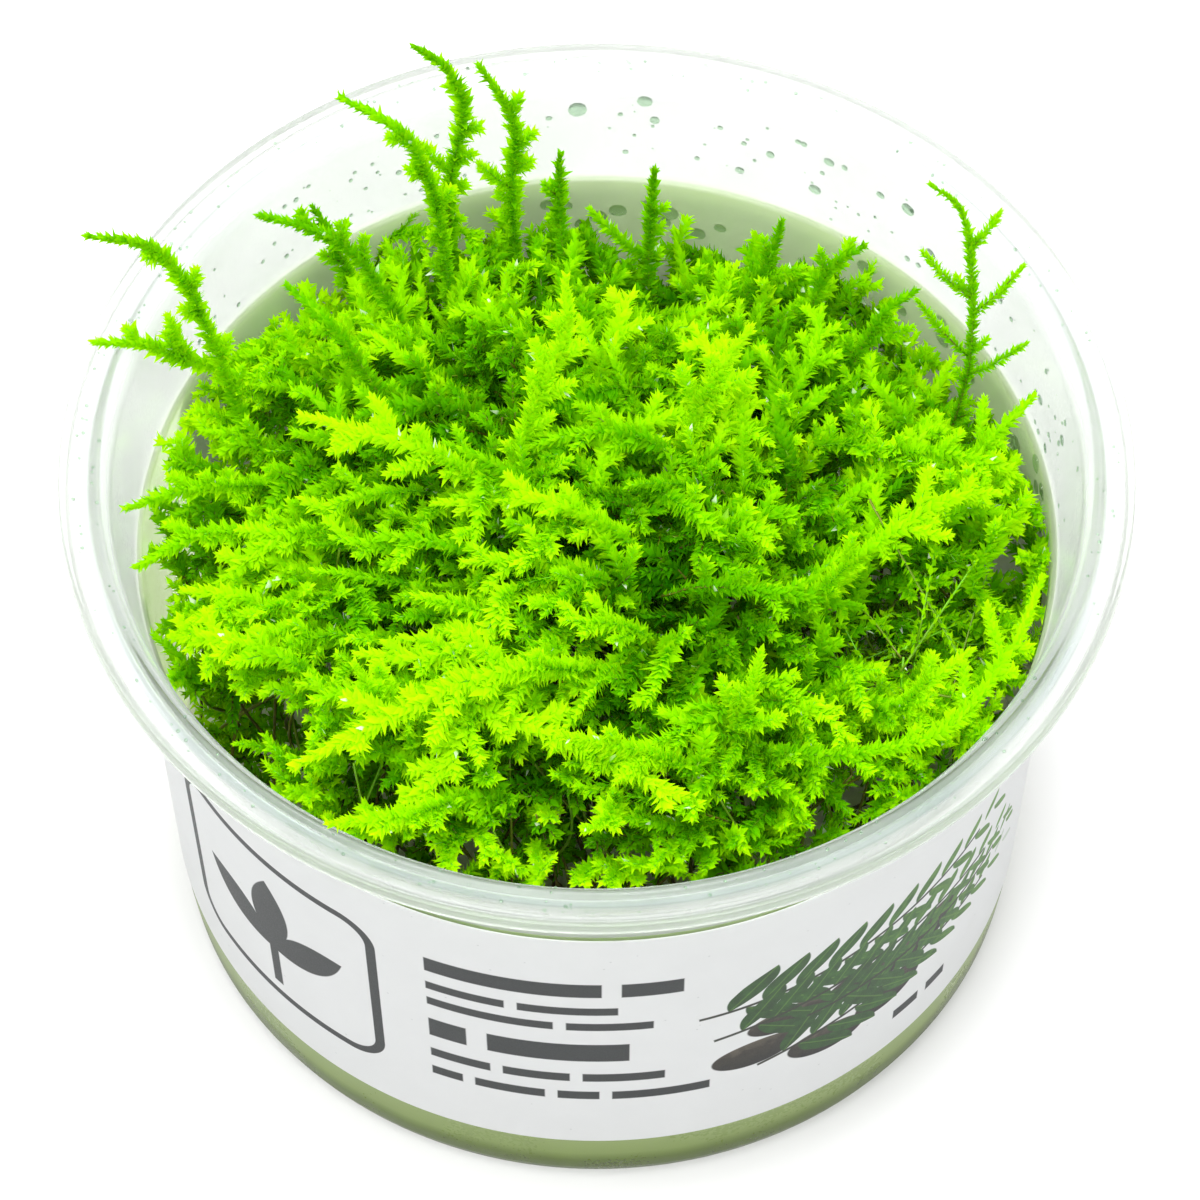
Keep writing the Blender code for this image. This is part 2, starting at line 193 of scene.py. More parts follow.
def node(tree, kind, inputs=(), **settings):
    """A node with its properties set; inputs maps socket names or numbers to what goes in."""
    made = tree.nodes.new(kind)
    for key, value in settings.items():
        setattr(made, key, value)
    for key, value in dict(inputs).items():
        plug(tree, made.inputs[key], value)
    return made


def split(tree, vector):
    """A vector's three numbers."""
    return [Num(tree, socket) for socket in node(tree, "ShaderNodeSeparateXYZ", {0: vector}).outputs]


def growth_numbers(tree):
    """A leaf's or stem's youth with painted light and shade mixed in, its own random tone, and how far along
    it a place is.
    """
    return split(tree, node(tree, "ShaderNodeAttribute", attribute_name="growth").outputs["Vector"])


def coordinates(tree):
    """Object coordinates in millimetres, whole and as three numbers."""
    place = node(tree, "ShaderNodeTexCoord").outputs["Object"]
    whole = node(tree, "ShaderNodeVectorMath", {0: place, 3: 1.0 / MM}, operation="SCALE")
    return whole, split(tree, whole)


def noise_value(tree, vector, scale, detail=3.0):
    made = node(tree, "ShaderNodeTexNoise", {"Vector": vector, "Scale": scale, "Detail": detail,
                                             "Roughness": 0.5})
    return Num(tree, made.outputs["Fac"])


def colour_mix(tree, share, first, second):
    return node(tree, "ShaderNodeMix", {0: share, 6: first, 7: second}, data_type="RGBA").outputs[2]


def colour_ramp(tree, share, stops):
    made = node(tree, "ShaderNodeValToRGB", {0: share})
    ramp = made.color_ramp
    while len(ramp.elements) < len(stops):
        ramp.elements.new(0.5)
    for element, (place, colour) in zip(ramp.elements, stops):
        element.position = place
        element.color = (*colour, 1.0)
    return made


def lobe(tree, kind, colour):
    """A plain shader of one colour: Diffuse, Translucent or Transparent."""
    return node(tree, "ShaderNodeBsdf" + kind, {"Color": colour})


def coated(tree, colour, rough, more):
    """The shader for a surface with gloss; more maps its other inputs."""
    return node(tree, "ShaderNodeBsdfPrincipled", {"Base Color": colour, "Roughness": rough, **more})


def mix_shader(tree, share, first, second):
    return node(tree, "ShaderNodeMixShader", {0: share, 1: first, 2: second})


def bump(tree, height, strength, distance):
    return node(tree, "ShaderNodeBump", {"Strength": strength, "Distance": distance, "Height": height})


# Materials

LEAF_GREENS = ((0.0, (0.025, 0.2, 0.0005)), (0.35, (0.12, 0.54, 0.0005)), (0.72, (0.38, 0.84, 0.001)),
               (1.0, (0.58, 0.99, 0.003)))
LEAF_TIP = LEAF_GREENS[-1][1]
YELLOW_LEAF = (0.42, 0.5, 0.02)
# A painted glint: the near-white highlight colour put on a few leaves.
PAINTED_GLINT = (0.95, 1.0, 0.85)
LEAF_GLOW = (0.56, 0.96, 0.0)
STEM_BROWNS = ((0.0, (0.07, 0.035, 0.01)), (0.25, (0.16, 0.17, 0.01)), (0.55, (0.2, 0.6, 0.005)))


def leaf_material():
    """A thin leaf: green by age with painted light and shade, lighter at its tip, lit through from behind,
    and with a painted glint on a few leaves.
    """
    made, tree, surface = new_material("moss_leaf")
    young, tone, along = growth_numbers(tree)
    colour = colour_ramp(tree, young + (tone - 0.5) * 0.22, LEAF_GREENS)
    colour = colour_mix(tree, along * young * 0.35, colour, LEAF_TIP)
    colour = colour_mix(tree, (tone - 0.86).max(0.0) * 1.2, colour, YELLOW_LEAF)
    # Painted glint: a few leaves near white beyond their middle, standing for wet highlights.
    painted_glint = tone.ramp(0.9955, 0.996) * along.ramp(0.3, 0.5)
    colour = colour_mix(tree, painted_glint, colour, PAINTED_GLINT)
    glow = lobe(tree, "Translucent", colour_mix(tree, 0.5, colour, LEAF_GLOW))
    plug(tree, surface, mix_shader(tree, 0.45, lobe(tree, "Diffuse", colour), glow))
    return made


def stem_material():
    """A thin stem: brown where it is old, green where it is young."""
    made, tree, surface = new_material("moss_stem")
    young, tone, _ = growth_numbers(tree)
    colour = colour_ramp(tree, young + (tone - 0.5) * 0.3, STEM_BROWNS)
    grain = noise_value(tree, coordinates(tree)[0], 6.0)
    plug(tree, surface, coated(tree, colour, 0.45, {"Normal": bump(tree, grain, 0.4, 0.00005)}))
    return made


# Painted shade in rings on the flange, where it shows the shaded wall below: darker tints of the clear
# plastic from 45 to 50 mm out, as shares of the way
FLANGE_SHADE_BANDS = ((0.0, (0.76, 0.84, 0.82)), (0.26, (0.78, 0.85, 0.84)), (0.3, (0.6, 0.71, 0.73)),
                (0.58, (0.62, 0.73, 0.74)), (0.62, (0.4, 0.5, 0.47)), (0.66, (0.78, 0.82, 0.79)),
                (0.9, (0.8, 0.83, 0.8)), (0.94, (0.5, 0.58, 0.5)), (0.98, (0.74, 0.81, 0.72)))
# The wall's colours: milky above and below the step, with painted green light from the moss below it, lit
# through there, and olive beside the gel
CLEAR_TINT = (0.975, 0.985, 0.975)
MILK, MOSS_LIT_MILK = (0.64, 0.65, 0.645), (0.66, 0.82, 0.36)
GLOW, MOSS_LIT_GLOW = (0.7, 0.71, 0.7), (0.8, 0.98, 0.48)
OLIVES = ((0.0, (0.06, 0.09, 0.004)), (0.27, (0.1, 0.155, 0.012)), (0.4, (0.23, 0.31, 0.09)),
          (0.65, (0.28, 0.36, 0.13)), (1.0, (0.45, 0.53, 0.3)))
GEL_COLOURS = ((0.0, (0.1, 0.14, 0.015)), (0.3, (0.17, 0.23, 0.035)), (0.65, (0.36, 0.44, 0.14)),
               (0.95, (0.85, 0.9, 0.66)))


def plastic_material():
    """Clear, slightly milky moulded plastic; a plain veil stands for it in light that has bounced."""
    made, tree, surface = new_material("clear_plastic")
    whole, (x, y, z) = coordinates(tree)
    cloud = noise_value(tree, whole, 0.12, 1.0)
    fine = noise_value(tree, whole, 2.5, 2.0)
    rough = (cloud * 0.14 + fine * 0.08) + 0.08
    ripple = bump(tree, cloud * 0.7 + fine * 0.1, 0.35, 0.0002)
    gloss = {"IOR": 1.45, "Specular IOR Level": 0.2, "Normal": ripple}
    # Painted shade: the flange's darker rings, strongest at the front.
    shade_bands = colour_ramp(tree, x.length(y).ramp(45.0, 50.0), FLANGE_SHADE_BANDS)
    front_shade = z.ramp(57.2, 57.6) * (y + (cloud - 0.5) * 20.0).ramp(-40.0, -8.0, 1.0, 0.3)
    tint = colour_mix(tree, front_shade, CLEAR_TINT, shade_bands)
    clear = coated(tree, tint, rough, {"Transmission Weight": 1.0, **gloss})
    below = z.ramp(47.4, 48.2, 1.0, 0.0)
    by_gel = z.ramp(11.6, 12.4, 1.0, 0.0)
    olive = colour_ramp(tree, z / GEL_TOP + (cloud - 0.5) * 0.1, OLIVES)
    # Below the step the wall's milk and glow are tinted with painted green light from the moss.
    milky, glowing = [colour_mix(tree, by_gel, colour_mix(tree, below, *pair), olive)
                      for pair in ((MILK, MOSS_LIT_MILK), (GLOW, MOSS_LIT_GLOW))]
    cloudy = mix_shader(tree, by_gel.ramp(0.0, 1.0, 0.65, 0.2), coated(tree, milky, rough + 0.1, gloss),
                        lobe(tree, "Translucent", glowing))
    milkiness = by_gel.ramp(0.0, 1.0, 0.45, 0.85) - z.ramp(58.4, 59.2, 0.0, 0.27) + (cloud - 0.5) * 0.2
    body = mix_shader(tree, milkiness, clear, cloudy)
    veil = mix_shader(tree, 0.2, lobe(tree, "Transparent", (0.97, 0.98, 0.97)),
                      lobe(tree, "Diffuse", (0.8, 0.86, 0.76)))
    path = node(tree, "ShaderNodeLightPath").outputs
    seen = mix_shader(tree, path["Is Diffuse Ray"], body, veil)
    shade = lobe(tree, "Transparent", (0.87, 0.91, 0.88))
    plug(tree, surface, mix_shader(tree, path["Is Shadow Ray"], seen, shade))
    return made


def gel_material():
    """Cloudy jelly: pale on top, olive where it is thick at the bottom."""
    made, tree, surface = new_material("growing_gel")
    whole, (_, _, z) = coordinates(tree)
    cloud = noise_value(tree, whole, 0.25)
    colour = colour_ramp(tree, z / GEL_TOP + (cloud - 0.5) * 0.25, GEL_COLOURS)
    rough = noise_value(tree, whole, 1.6, 2.0).ramp(0.3, 0.7, 0.08, 0.2)
    jelly = coated(tree, colour, rough, {"IOR": 1.34, "Specular IOR Level": 0.1,
                                         "Normal": bump(tree, cloud, 0.3, 0.0005)})
    plug(tree, surface, mix_shader(tree, 0.45, jelly, lobe(tree, "Translucent", colour)))
    return made


def water_material():
    made, tree, surface = new_material("water_drops")
    drop = coated(tree, (0.62, 0.82, 0.62), 0.0, {"IOR": 1.33, "Transmission Weight": 1.0})
    shadow = node(tree, "ShaderNodeLightPath").outputs["Is Shadow Ray"]
    plug(tree, surface, mix_shader(tree, shadow, drop, lobe(tree, "Transparent", (0.96, 0.97, 0.97))))
    return made


# The label's print: a framed sprout, plain bars, and sprigs over pebbles

LABEL_MAP = 260.0
EDGE = 0.06
INK = (0.012, 0.016, 0.017)
PAPER_WHITE = (0.8, 0.81, 0.81)
PAPER_GLOW = 0.35

# Bars as (left, right, middle height, thickness) in millimetres round and up the label
BARS = (
    (45.5, 62.0, 37.4, 2.5), (63.8, 69.5, 37.4, 2.5),
    (45.5, 53.0, 33.4, 1.4), (54.2, 63.5, 33.4, 1.4),
    (45.5, 57.5, 30.4, 1.4), (58.7, 66.8, 30.4, 1.4),
    (45.5, 49.2, 25.3, 3.3), (51.2, 64.6, 25.3, 3.3),
    (45.5, 51.4, 20.4, 1.5), (52.6, 59.0, 20.4, 1.5), (60.2, 68.0, 20.4, 1.5),
    (45.5, 48.6, 16.9, 1.5), (49.8, 56.6, 16.9, 1.5), (57.8, 61.8, 16.9, 1.5), (63.0, 72.4, 16.9, 1.5),
    (93.0, 96.4, 13.2, 1.5), (97.6, 100.4, 13.2, 1.5),
)
# The sprout: its frame as (middle along, middle up, half, rounding, thickness), its stalk as a bar, and
# its leaves as (foot along, foot up, turn, length, half width)
SPROUT_FRAME = (27.5, 27.0, 12.5, 3.5, 1.0)
STALK = (26.9, 28.1, 20.0, 7.0)
PETALS = ((27.5, 23.0, 35.0, 11.0, 2.3), (27.5, 23.0, 90.0, 12.5, 2.5), (27.5, 23.0, 145.0, 11.0, 2.3))
# Sprigs as (foot along, foot up, turn, length, bow, pitch, leaf length, leaf half width)
SPRIGS = (
    (73.0, 30.0, 6.0, 34.0, 0.002, 3.4, 8.5, 1.9),
    (74.5, 25.5, 12.0, 34.0, -0.003, 3.2, 8.5, 1.8),
    (79.0, 18.5, 16.0, 30.0, -0.004, 3.2, 8.0, 1.8),
    (84.0, 24.0, 2.0, 26.0, 0.003, 3.0, 7.5, 1.7),
)
SPRIG_LEAN = 0.9
# Pebbles under the sprigs as (middle along, middle up, half length, half height, turn)
PEBBLES = ((77.0, 20.6, 4.6, 2.3, 8.0), (84.6, 17.6, 4.4, 2.4, -6.0), (91.8, 19.4, 4.2, 2.6, 12.0),
           (80.6, 25.2, 4.8, 2.2, 4.0), (88.6, 25.0, 4.8, 2.6, -8.0), (96.8, 25.6, 4.0, 2.7, 16.0))
SPRIG_GREENS = ((0.15, (0.006, 0.03, 0.004)), (0.5, (0.022, 0.1, 0.008)), (0.85, (0.1, 0.27, 0.02)))
SPRIG_VEIN, SPRIG_STEM = (0.13, 0.3, 0.03), (0.02, 0.025, 0.012)
PEBBLE_BROWNS = ((0.1, (0.006, 0.006, 0.005)), (0.6, (0.03, 0.024, 0.015)), (0.95, (0.12, 0.1, 0.07)))


def box_mask(u, v, left, right, middle, thick):
    """1 inside a bar with soft edges."""
    far = ((u - (left + right) / 2).abs() - (right - left) / 2).max((v - middle).abs() - thick / 2)
    return far.ramp(-EDGE, EDGE, 1.0, 0.0)


def turned_axes(u, v, foot_u, foot_v, turn):
    """How far from a foot a place lies, along a direction and across it."""
    c, s = math.cos(math.radians(turn)), math.sin(math.radians(turn))
    du, dv = u - foot_u, v - foot_v
    return du * c + dv * s, dv * c - du * s


def sprig_mask(u, v, foot_u, foot_v, turn, length, bow, pitch, leaf, half):
    """A bowed stem with pairs of oval leaves: leaf mask, stem mask, place along it and vein mask."""
    along, across = turned_axes(u, v, foot_u, foot_v, turn)
    across = across - along * along * bow
    out = across.abs()
    shifted = along - out * SPRIG_LEAN + across.sign() * (pitch * 0.25)
    cell = (shifted / pitch).floor()
    ahead = shifted - (cell + 0.5) * pitch
    share = ((cell + 0.5) * pitch) / length
    size = share.ramp(0.0, 1.0, 1.0, 0.4)
    middle = size * (leaf * 0.36)
    far = (out - middle) / middle
    outline = (-(far * far) + 1.0) * size * half - ahead.abs()
    bounds = share.ramp(0.0, 0.02).min(share.ramp(1.0, 1.02, 1.0, 0.0))
    leaves = outline.ramp(0.0, 2.0 * EDGE).min(bounds)
    ends = along.ramp(-2.0, -1.9).min((-along + length * 0.9).ramp(0.0, 0.1))
    return leaves, out.ramp(0.16, 0.28, 1.0, 0.0).min(ends), share, ahead.abs().ramp(0.06, 0.18, 1.0, 0.0)


def pebble_mask(u, v, middle_u, middle_v, half_long, half_high, turn):
    """An oval pebble, and how far up it a place lies."""
    across, up = turned_axes(u, v, middle_u, middle_v, turn)
    up = up / half_high
    return (across / half_long).length(up).ramp(0.97, 1.01, 1.0, 0.0), up


def frame_mask(u, v, middle_u, middle_v, half, round_by, thick):
    """A square outline with rounded corners."""
    du = ((u - middle_u).abs() - (half - round_by)).max(0.0)
    dv = ((v - middle_v).abs() - (half - round_by)).max(0.0)
    return (du.length(dv) - round_by).abs().ramp(thick / 2, thick / 2 + EDGE, 1.0, 0.0)


def petal_mask(u, v, foot_u, foot_v, turn, long, half):
    """One pointed oval leaf from its foot."""
    along, across = turned_axes(u, v, foot_u, foot_v, turn)
    far = (along - long / 2) / (long / 2)
    return ((-(far * far) + 1.0) * half - across.abs()).ramp(0.0, 2.0 * EDGE)


def label_material():
    """White coated paper with the print on its outer face; bare white in light that has bounced."""
    made, tree, surface = new_material("label_paper")
    u, v, _ = [at * LABEL_MAP for at in split(tree, node(tree, "ShaderNodeUVMap", uv_map="wrap"))]
    whole, _ = coordinates(tree)
    grain = noise_value(tree, whole, 7.0, 4.0)
    specks = node(tree, "ShaderNodeTexVoronoi", {"Vector": whole, "Scale": 0.45}).outputs["Distance"]
    colour = colour_mix(tree, noise_value(tree, whole, 0.2), (0.78, 0.79, 0.79), (0.82, 0.83, 0.83))
    colour = colour_mix(tree, Num(tree, specks).ramp(0.035, 0.06, 0.35, 0.0), colour, (0.4, 0.42, 0.42))
    mottle = noise_value(tree, whole, 0.9)
    for pebble in PEBBLES:
        stone, up = pebble_mask(u, v, *pebble)
        brown = colour_ramp(tree, up * 0.35 + mottle * 0.6 + 0.2, PEBBLE_BROWNS)
        colour = colour_mix(tree, stone, colour, brown)
    for sprig in SPRIGS:
        leaves, stem, share, vein = sprig_mask(u, v, *sprig)
        green = colour_ramp(tree, share * 0.5 + mottle * 0.6, SPRIG_GREENS)
        green = colour_mix(tree, vein * 0.4, green, SPRIG_VEIN)
        colour = colour_mix(tree, leaves, colour, green)
        colour = colour_mix(tree, stem, colour, SPRIG_STEM)
    inked = [box_mask(u, v, *bar) for bar in (*BARS, STALK)]
    inked += [petal_mask(u, v, *petal) for petal in PETALS] + [frame_mask(u, v, *SPROUT_FRAME)]
    colour = colour_mix(tree, functools.reduce(Num.max, inked) * 0.98, colour, INK)
    paper = coated(tree, colour, grain.ramp(0.3, 0.7, 0.34, 0.5),
                   {"Normal": bump(tree, grain, 0.12, 0.00005)})
    printed = mix_shader(tree, PAPER_GLOW, paper, lobe(tree, "Translucent", colour))
    bare = mix_shader(tree, PAPER_GLOW, lobe(tree, "Diffuse", PAPER_WHITE),
                      lobe(tree, "Translucent", PAPER_WHITE))
    bounced = node(tree, "ShaderNodeLightPath").outputs["Is Diffuse Ray"]
    plug(tree, surface, mix_shader(tree, bounced, printed, bare))
    return made


# Mesh helpers

def linked(name, data):
    made = bpy.data.objects.new(name, data)
    bpy.context.scene.collection.objects.link(made)
    return made


def mesh_object(name, points, faces, look):
    """A smooth object from points in millimetres, with its sharp edges kept."""
    mesh = bpy.data.meshes.new(name)
    mesh.from_pydata((np.array(points) * MM).tolist(), [], faces)
    mesh.materials.append(look)
    mesh.shade_smooth()
    mesh.set_sharp_from_angle(angle=SHARP_ANGLE)
    return linked(name, mesh)


@functools.lru_cache(maxsize=None)
def tube_faces(rows, around):
    """A closed tube: quads between its rings of points, and triangles to its first and last point."""
    at = lambda row, k: 1 + row * around + k % around
    faces = []
    for k in range(around):
        faces += [(0, at(0, k + 1), at(0, k)), (1 + rows * around, at(rows - 1, k), at(rows - 1, k + 1))]
        faces += [(at(row, k), at(row, k + 1), at(row + 1, k + 1), at(row + 1, k)) for row in range(rows - 1)]
    return faces


@functools.lru_cache(maxsize=None)
def tube_triangles(rows, around):
    return np.array([(face[0], face[k], face[k + 1]) for face in tube_faces(rows, around)
                     for k in range(1, len(face) - 1)])


def turned_mesh(name, profile, steps, look):
    """A closed solid turned about the Z axis from (radius, height) points that start and end on it."""
    turns = np.arange(steps) * 2 * math.pi / steps
    points = [(0.0, 0.0, profile[0][1])]
    for radius, height in profile[1:-1]:
        points += [(radius * math.cos(t), radius * math.sin(t), height) for t in turns]
    points.append((0.0, 0.0, profile[-1][1]))
    faces = tube_faces(len(profile) - 2, steps)
    closed = profile + profile[:1]
    if sum(a[0] * b[1] - b[0] * a[1] for a, b in zip(closed, closed[1:])) < 0.0:
        faces = [face[::-1] for face in faces]
    return mesh_object(name, points, faces, look)


def wall_radius(height):
    """Outer radius of the tapered wall at a height above the base."""
    low, high = CORNER_RADIUS, CUP_HEIGHT - STEP_DROP
    share = (height - low) / (high - low)
    return FOOT_RADIUS + share * (STEP_RADIUS - STEP_WIDTH - FOOT_RADIUS)


def rounded(points, count=3):
    """The open profile with each corner rounded, by a point's own third number where it has one."""
    made = [points[0][:2]]
    for before, here, after in zip(points, points[1:], points[2:]):
        a, b, c = (np.array(p[:2], float) for p in (before, here, after))
        size = here[2] if len(here) > 2 else ROUNDING
        first, last = (b + unit(end - b) * min(size, np.linalg.norm(end - b) * 0.45) for end in (a, c))
        for t in np.linspace(0.0, 1.0, count + 1):
            made.append(tuple((1 - t) ** 2 * first + 2 * t * (1 - t) * b + t * t * last))
    made.append(points[-1][:2])
    return made


def make_cup(look):
    """The cup, turned from its profile: inside floor, over the flange, and down to the base."""
    top, step = CUP_HEIGHT, CUP_HEIGHT - STEP_DROP
    below_step, skirt = STEP_RADIUS - STEP_WIDTH, top - SKIRT_HEIGHT
    points = [(0.0, FLOOR), (wall_radius(FLOOR) - WALL, FLOOR, CORNER_RADIUS - WALL / 2),
              (below_step - WALL, step - 0.3), (STEP_RADIUS - WALL, step + 0.3),
              (LIP_TOP_RADIUS - 0.1, top - LIP_DROP, 0.5), (BEAD_RADIUS - 0.5, top - 0.15, 0.5),
              (BEAD_RADIUS + 0.1, top), (BEAD_RADIUS + 0.8, top - 0.45, 0.4),
              (FLANGE_RADIUS - 1.6, top - 0.3, 0.4), (FLANGE_RADIUS - 0.6, top, 0.4),
              (FLANGE_RADIUS, top - 0.1), (FLANGE_RADIUS, skirt, 0.15), (FLANGE_RADIUS - 0.6, skirt, 0.15),
              (FLANGE_RADIUS - 0.8, top - FLANGE_THICKNESS - 0.2),
              (BEAD_RADIUS + 0.3, top - FLANGE_THICKNESS - 0.4, 0.4),
              (LIP_TOP_RADIUS + WALL - 0.1, top - LIP_DROP - 0.6, 0.5), (STEP_RADIUS, step + 0.2),
              (below_step, step - 0.4), (wall_radius(0.0), 0.0, CORNER_RADIUS),
              (RECESS_RADIUS + 0.6, 0.0), (RECESS_RADIUS, RECESS_DEPTH), (0.0, RECESS_DEPTH)]
    return turned_mesh("clear_cup", rounded(points), 192, look)


def make_gel(look):
    """The jelly, drawn up a little at the wall and uneven on top."""
    wall, low, rim = WALL + GEL_GAP, FLOOR + GEL_GAP, GEL_TOP + GEL_MENISCUS
    profile = [(0.0, low), (wall_radius(FLOOR) - wall, low, CORNER_RADIUS - WALL / 2),
               (wall_radius(rim) - wall, rim, 0.2), (wall_radius(GEL_TOP) - wall - 2.5, GEL_TOP, 2.0),
               (20.0, GEL_TOP), (0.0, GEL_TOP)]
    gel = turned_mesh("growing_gel_jelly", rounded(profile, 6), 128, look)
    rng = np.random.default_rng(5)
    for vertex in gel.data.vertices:
        x, y, z = vertex.co / MM
        if z > GEL_TOP - 0.5 and math.hypot(x, y) < 38.0:
            vertex.co.z += 0.5 * MM * noise.noise(Vector((x / 6.0, y / 6.0, rng.random() * 0.01)))
    return gel


def make_label(look):
    """A thin band round the wall, with rounded ends: a ring of points at each place along it."""
    sweep, curve = math.radians(LABEL_SWEEP), LABEL_ENDS[-1]
    reach = sweep * wall_radius((LABEL_LOW + LABEL_HIGH) / 2)
    middle = np.linspace(curve, reach - curve, LABEL_COLUMNS)[1:-1]
    columns = [*LABEL_ENDS, *middle, *(reach - end for end in reversed(LABEL_ENDS))]
    points, wrap = [], []
    for gone in columns:
        near = max(0.0, curve - min(gone, reach - gone))
        trim = curve - math.sqrt(max(curve ** 2 - near ** 2, 0.0))
        turn = math.radians(LABEL_START) + gone / reach * sweep
        heights = np.linspace(LABEL_LOW + trim, LABEL_HIGH - trim, LABEL_ROWS)
        for lift, shift, side in ((LABEL_OUTSIDE, 0.0, heights), (LABEL_INSIDE, 0.5, heights[::-1])):
            for height in side:
                radius = wall_radius(height) + lift
                points.append((radius * math.cos(turn), radius * math.sin(turn), height))
                wrap.append((gone / LABEL_MAP, height / LABEL_MAP + shift))
    around, end = 2 * LABEL_ROWS, len(columns) - 1
    at = lambda column, k: column * around + k % around
    faces = [(at(column, k), at(column + 1, k), at(column + 1, k + 1), at(column, k + 1))
             for column in range(end) for k in range(around)]
    for row in range(LABEL_ROWS - 1):
        cap = (at(0, -1 - row), at(0, row), at(0, row + 1), at(0, -2 - row))
        faces += [cap, tuple(end * around + corner for corner in reversed(cap))]
    label = mesh_object("wrap_label", points, faces, look)
    corners = np.array([loop.vertex_index for loop in label.data.loops])
    layer = label.data.uv_layers.new(name="wrap")
    layer.uv.foreach_set("vector", np.array(wrap, np.float32)[corners].ravel())
    return label


# The moss

def mat_height(x, y):
    """Height of the mat's leafy top: a low dome that leans to the front, with lumps and hollows."""
    reach = math.hypot(x, y) / MAT_RADIUS
    height = MAT_WALL_HEIGHT + MAT_DOME * (1.0 - reach * reach) + MAT_LEAN[0] * x + MAT_LEAN[1] * y
    height -= MAT_EDGE_DROP * max(0.0, (reach - MAT_EDGE) / (1.0 - MAT_EDGE)) ** 2
    for size, rise in LUMPS:
        height += rise * noise.noise(Vector((x / size, y / size, size)))
    for places, sign in ((HOLLOWS, -1.0), (MOUNDS, 1.0)):
        for (at_x, at_y), radius, depth in places:
            away = math.hypot(x - at_x, y - at_y) / radius
            height += sign * depth * math.exp(-away * away)
    return height


def smooth_route(points, count):
    """Evenly numbered points along a smooth curve through the given ones."""
    knots = [np.array(point, float) for point in points]
    knots = [2 * knots[0] - knots[1]] + knots + [2 * knots[-1] - knots[-2]]
    spans = len(points) - 1
    route = []
    for at in range(count):
        place = min(at / (count - 1) * spans, spans - 1e-6)
        first, t = int(place), place - int(place)
        a, b, c, d = knots[first:first + 4]
        route.append(0.5 * (2 * b + (c - a) * t + (2 * a - 5 * b + 4 * c - d) * t * t
                            + (3 * b - a - 3 * c + d) * t ** 3))
    return np.array(route)


def unit(vectors):
    return vectors / np.maximum(np.linalg.norm(vectors, axis=-1, keepdims=True), 1e-9)


def spaced(route, step):
    """Points at even steps along a route, their directions, and how far along they are from 0 to 1."""
    lengths = np.concatenate([[0.0], np.cumsum(np.linalg.norm(np.diff(route, axis=0), axis=1))])
    total = lengths[-1]
    count = max(int(total / step), 3)
    gone = np.linspace(0.0, total, count)
    places = np.stack([np.interp(gone, lengths, route[:, k]) for k in range(3)], 1)
    ways = unit(np.gradient(places, axis=0))
    return places, ways, gone / total


